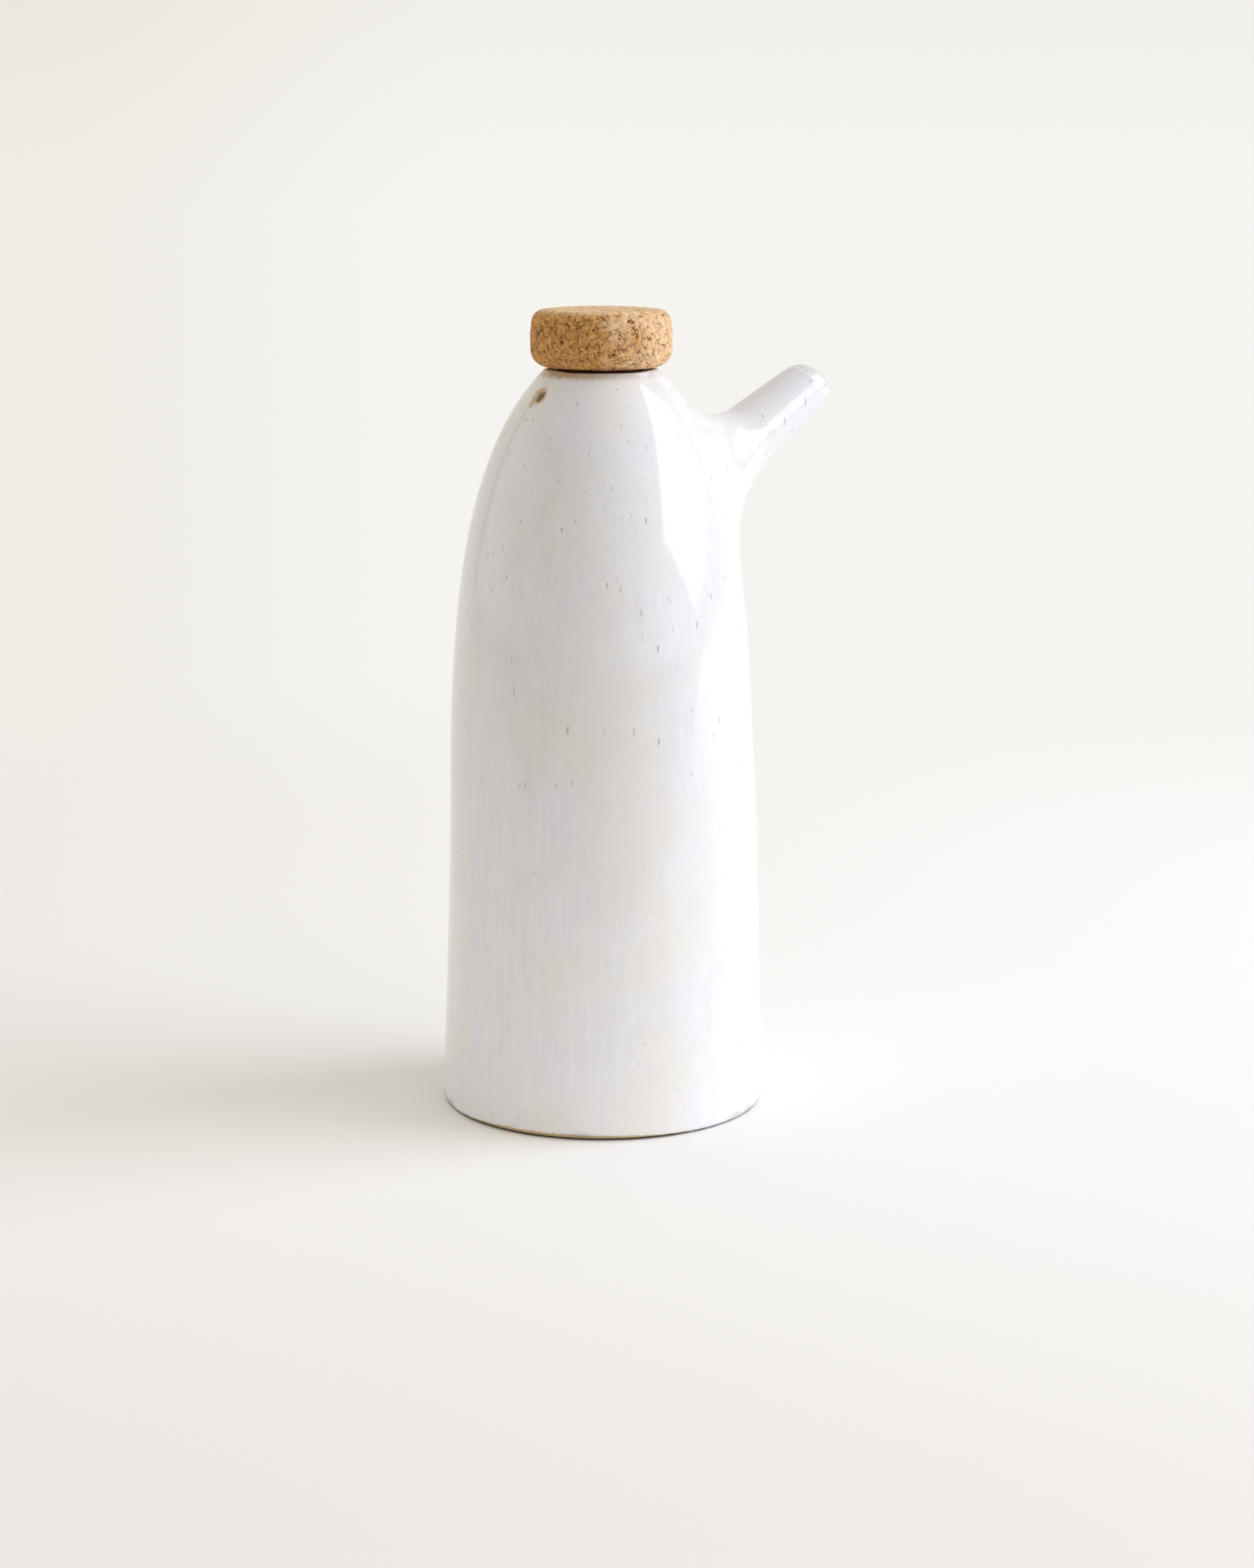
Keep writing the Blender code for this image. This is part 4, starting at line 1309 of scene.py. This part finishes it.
def turned_skin(corners, step, columns):
    """Points, outward directions and faces of a closed turned form, top centre to bottom centre."""
    radii, heights = walk_profile(corners, step)
    run_out, run_up = np.gradient(radii), np.gradient(heights)
    size = np.hypot(run_out, run_up)
    rings = turned_rings(radii[1:-1], heights[1:-1], columns)
    ring_ways = turned_rings((-run_up / size)[1:-1], (run_out / size)[1:-1], columns)
    points = np.concatenate(([[0.0, 0.0, heights[0]]], rings.reshape(-1, 3), [[0.0, 0.0, heights[-1]]]))
    ways = np.concatenate(([[0.0, 0.0, 1.0]], ring_ways.reshape(-1, 3), [[0.0, 0.0, -1.0]]))
    numbers = 1 + np.arange(len(rings) * columns).reshape(len(rings), columns)
    following = np.roll(numbers, -1, axis=1)
    faces = [(0, int(here), int(there)) for here, there in zip(numbers[0], following[0])]
    quads = np.stack((numbers[:-1], numbers[1:], following[1:], following[:-1]), axis=-1).reshape(-1, 4)
    faces += [tuple(int(corner) for corner in quad) for quad in quads]
    last = len(points) - 1
    faces += [(last, int(there), int(here)) for here, there in zip(numbers[-1], following[-1])]
    return points, ways, faces


print("turned skins ready")

# %% A helper that makes a cork piece
HOLE_REACH = (0.00025, 0.00075)
HOLE_SQUEEZE = 0.45
HOLE_EDGE = 1.35
HOLE_DEPTH = 0.0005
JOINT_DEPTH = 0.00022
GRANULE_RELIEF = 0.00007


def dig_holes(points, count):
    """Small irregular pits at random places: 1 in the middle of a pit, 0 outside."""
    holes = np.zeros(len(points))
    for centre_index in chance.integers(0, len(points), count):
        squeeze = chance.uniform(HOLE_SQUEEZE, 1.0, 3)
        reach = chance.uniform(*HOLE_REACH)
        distance = np.linalg.norm((points - points[centre_index]) / squeeze, axis=1) / reach
        holes = np.maximum(holes, np.clip(HOLE_EDGE - distance, 0.0, 1.0))
    return holes


def make_cork(name, corners, step, columns, hole_count):
    points, ways, faces = turned_skin(corners, step, columns)
    margin = 2.0 * GRANULE_SPACING
    centres = scatter_granules(points.min(axis=0) - margin, points.max(axis=0) + margin)
    nearest, joint, openness = read_granules(points, centres)
    tones = chance.uniform(0.0, 1.0, len(centres))[nearest]
    hues = chance.uniform(0.0, 1.0, len(centres))[nearest]
    holes = dig_holes(points, hole_count)
    open_joint = joint * openness
    sink = JOINT_DEPTH * open_joint + HOLE_DEPTH * holes + GRANULE_RELIEF * (1.0 - hues)
    mesh = bpy.data.meshes.new(name)
    mesh.from_pydata((points - ways * sink[:, None]).tolist(), [], faces)
    paint_points(mesh, "granule_tone", tones)
    paint_points(mesh, "granule_hue", hues)
    paint_points(mesh, "crevice", np.maximum(open_joint, holes))
    paint_points(mesh, "joint", joint)
    mesh.shade_smooth()
    print(name, len(points), "points,", len(centres), "granules")
    return add_to_scene(name, mesh)


print("joints are", JOINT_DEPTH / MM, "mm deep and holes", HOLE_DEPTH / MM, "mm")

# %% Cork head and plug
HEAD_RADIUS = 0.0171
HEAD_BOTTOM = 0.1821
HEAD_TOP = 0.1960
HEAD_FLAT = 0.0129
HEAD_DISH = 0.00005
TOP_INSET = 0.0033
TOP_ROUNDING = 0.0031
SIDE_BULGE = 0.0001
BULGE_RISE = 0.0006
BOTTOM_ROUNDING = 0.0042
SEAT_RADIUS = 0.0110
# The step along the profile, the columns around and the count of holes
HEAD_SKIN = (0.00026, 400, 120)
PLUG_SKIN = (0.00030, 220, 60)
# The plug's outline from its top centre to its bottom centre, as (radius, height) pairs
PLUG_TOP = ((0.0, 0.1840), (0.0100, 0.1840), (0.0104, 0.1836), (0.0104, RIM_HEIGHT))
PLUG_END = ((0.0093, 0.1650), (0.0090, 0.1643), (0.0083, 0.1640), (0.0, 0.1640))

head_line = [(0.0, HEAD_TOP), (HEAD_FLAT, HEAD_TOP - HEAD_DISH)]
head_line += rounded_corner(HEAD_RADIUS - TOP_INSET, HEAD_TOP - TOP_INSET, TOP_ROUNDING, 90.0, 8.0, 10)
head_line += [(HEAD_RADIUS + SIDE_BULGE, 0.5 * (HEAD_TOP + HEAD_BOTTOM) + BULGE_RISE)]
bottom_corner = (HEAD_RADIUS - BOTTOM_ROUNDING, HEAD_BOTTOM + BOTTOM_ROUNDING)
head_line += rounded_corner(*bottom_corner, BOTTOM_ROUNDING, -4.0, -86.0, 12)
head_line += [(SEAT_RADIUS, HEAD_BOTTOM), (0.0, HEAD_BOTTOM)]
cork_head = make_cork("cork_head", head_line, *HEAD_SKIN)

cork_plug = make_cork("cork_plug", PLUG_TOP + PLUG_END, *PLUG_SKIN)

for piece, node, slot in ((cork_head, "stopper_head", "head_cork"), (cork_plug, "stopper_plug", "plug_cork")):
    piece.location = float(lean_at(HEAD_BOTTOM)) * picture_right
    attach(piece, "stopper")
    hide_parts(node)

# %% [markdown]
# The finish starts from a broad change of colour, painted light and shade: the stopper is painted an
# orange brown on the side away from the softbox and pale on the side towards it, and its top is painted
# paler still, as painted light. Each granule then shifts the colour a little, a fine grain breaks it up,
# and short dark crevices open along some of the joints of a finer mosaic.

# %% Broad colour of the cork and its granules
CORK_PAINTED_SHADE_SIDE = (0.670, 0.330, 0.098, 1.0)
CORK_PAINTED_LIGHT_SIDE = (0.870, 0.575, 0.315, 1.0)
CORK_PAINTED_LIGHT_TOP = (0.910, 0.670, 0.400, 1.0)
CORK_PINK = (0.800, 0.440, 0.220, 1.0)
CORK_OLIVE = (0.640, 0.370, 0.105, 1.0)
DRIFT_NOISE = (210.0, 2.0)
DRIFT_TONES = (0.3, 0.7, -0.007, 0.007)
PAINTED_SIDES_RANGE = (-0.001, 0.011)
PAINTED_LIGHT_TOP_HEIGHTS = (0.1947, 0.1960)
PAINTED_LIGHT_TOP_STRENGTH = 0.9
PINK_HUES = (0.70, 1.0, 0.0, 0.45)
OLIVE_HUES = (0.30, 0.0, 0.0, 0.30)
GRANULE_TONES = (0.86, 1.13)

cork, tree = new_material("pressed_cork")
place = add_node(tree, "ShaderNodeTexCoord").outputs["Object"]
painted = {}
for name in ("granule_tone", "granule_hue", "crevice", "joint"):
    painted[name] = add_node(tree, "ShaderNodeAttribute", attribute_name=name).outputs["Fac"]
drift = remap(tree, noise(tree, place, *DRIFT_NOISE), *DRIFT_TONES, smooth=False)
# Painted light and shade: the cork is painted orange brown on its left and pale on its right, where the
# softbox lights it
painted_sides_edge = total(tree, run_along(tree, place, picture_right), drift)
cork_colour = mix_colour(tree, remap(tree, painted_sides_edge, *PAINTED_SIDES_RANGE), CORK_PAINTED_SHADE_SIDE, CORK_PAINTED_LIGHT_SIDE)
# Painted light: the cork's top face is painted paler where it faces up
on_top = remap(tree, run_along(tree, place, upward), *PAINTED_LIGHT_TOP_HEIGHTS)
for share, colour in (
    (product(tree, on_top, PAINTED_LIGHT_TOP_STRENGTH), CORK_PAINTED_LIGHT_TOP),
    (remap(tree, painted["granule_hue"], *PINK_HUES), CORK_PINK),
    (remap(tree, painted["granule_hue"], *OLIVE_HUES), CORK_OLIVE),
):
    cork_colour = mix_colour(tree, share, cork_colour, colour)
cork_colour = tint(tree, cork_colour, between(tree, painted["granule_tone"], *GRANULE_TONES))
print("cork runs from", CORK_PAINTED_SHADE_SIDE[:3], "to", CORK_PAINTED_LIGHT_SIDE[:3])

# %% Grain, crevices and holes of the cork
CORK_LIGHT = (0.900, 0.600, 0.350, 1.0)
CREVICE_COLOUR = (0.165, 0.055, 0.014, 1.0)
CORK_GRAIN = (1600.0, 4.0, 0.68)
GRAIN_TONES = (0.32, 0.56, 0.70, 1.06)
GRAIN_LIGHTS = (0.52, 0.68, 0.0, 0.50)
BEND_SCALE = 600.0
BEND_REACH = 0.0011
SEAM_SCALE = 540.0
SEAM_WIDTH = (0.075, 0.02)
OPENED_NOISE = (540.0, 1.0)
OPENED_RANGE = (0.52, 0.58)
SEAMS_ON_TOP = 0.5
JOINT_STRENGTH = 0.16
SEAM_STRENGTH = 0.78
CREVICE_RANGE = (0.30, 0.9, 0.0, 0.92)
CORK_RELIEF = (0.7, 0.0002)
CORK_ROUGHNESS = 0.88
CORK_IOR = 1.25

grain = noise(tree, place, *CORK_GRAIN)
cork_colour = tint(tree, cork_colour, remap(tree, grain, *GRAIN_TONES))
bend = add_node(tree, "ShaderNodeTexNoise", {"Vector": place, "Scale": BEND_SCALE}).outputs["Color"]
bend = add_node(tree, "ShaderNodeVectorMath", {0: bend, "Scale": BEND_REACH}, operation="SCALE")
bent_place = add_node(tree, "ShaderNodeVectorMath", {0: place, 1: bend.outputs["Vector"]}, operation="ADD")
mosaic = {"Vector": bent_place.outputs["Vector"], "Scale": SEAM_SCALE}
from_seam = add_node(tree, "ShaderNodeTexVoronoi", mosaic, feature="DISTANCE_TO_EDGE").outputs["Distance"]
seam = product(
    tree,
    remap(tree, from_seam, *SEAM_WIDTH),
    remap(tree, noise(tree, place, *OPENED_NOISE), *OPENED_RANGE),
    between(tree, on_top, 1.0, SEAMS_ON_TOP),
)
for share, colour in (
    (remap(tree, grain, *GRAIN_LIGHTS), CORK_LIGHT),
    (product(tree, painted["joint"], JOINT_STRENGTH), CREVICE_COLOUR),
    (product(tree, seam, SEAM_STRENGTH), CREVICE_COLOUR),
    (remap(tree, painted["crevice"], *CREVICE_RANGE), CREVICE_COLOUR),
):
    cork_colour = mix_colour(tree, share, cork_colour, colour)
cork_shader = add_node(tree, "ShaderNodeBsdfPrincipled", {
    "Base Color": cork_colour,
    "Roughness": CORK_ROUGHNESS,
    "Normal": add_relief(tree, calculate(tree, "SUBTRACT", grain, seam), *CORK_RELIEF),
    "IOR": CORK_IOR,
})
end_chain(tree, cork_shader)
cork_head.data.materials.append(cork)
cork_plug.data.materials.append(cork)
print("cork finish on", cork_head.name, "and", cork_plug.name)
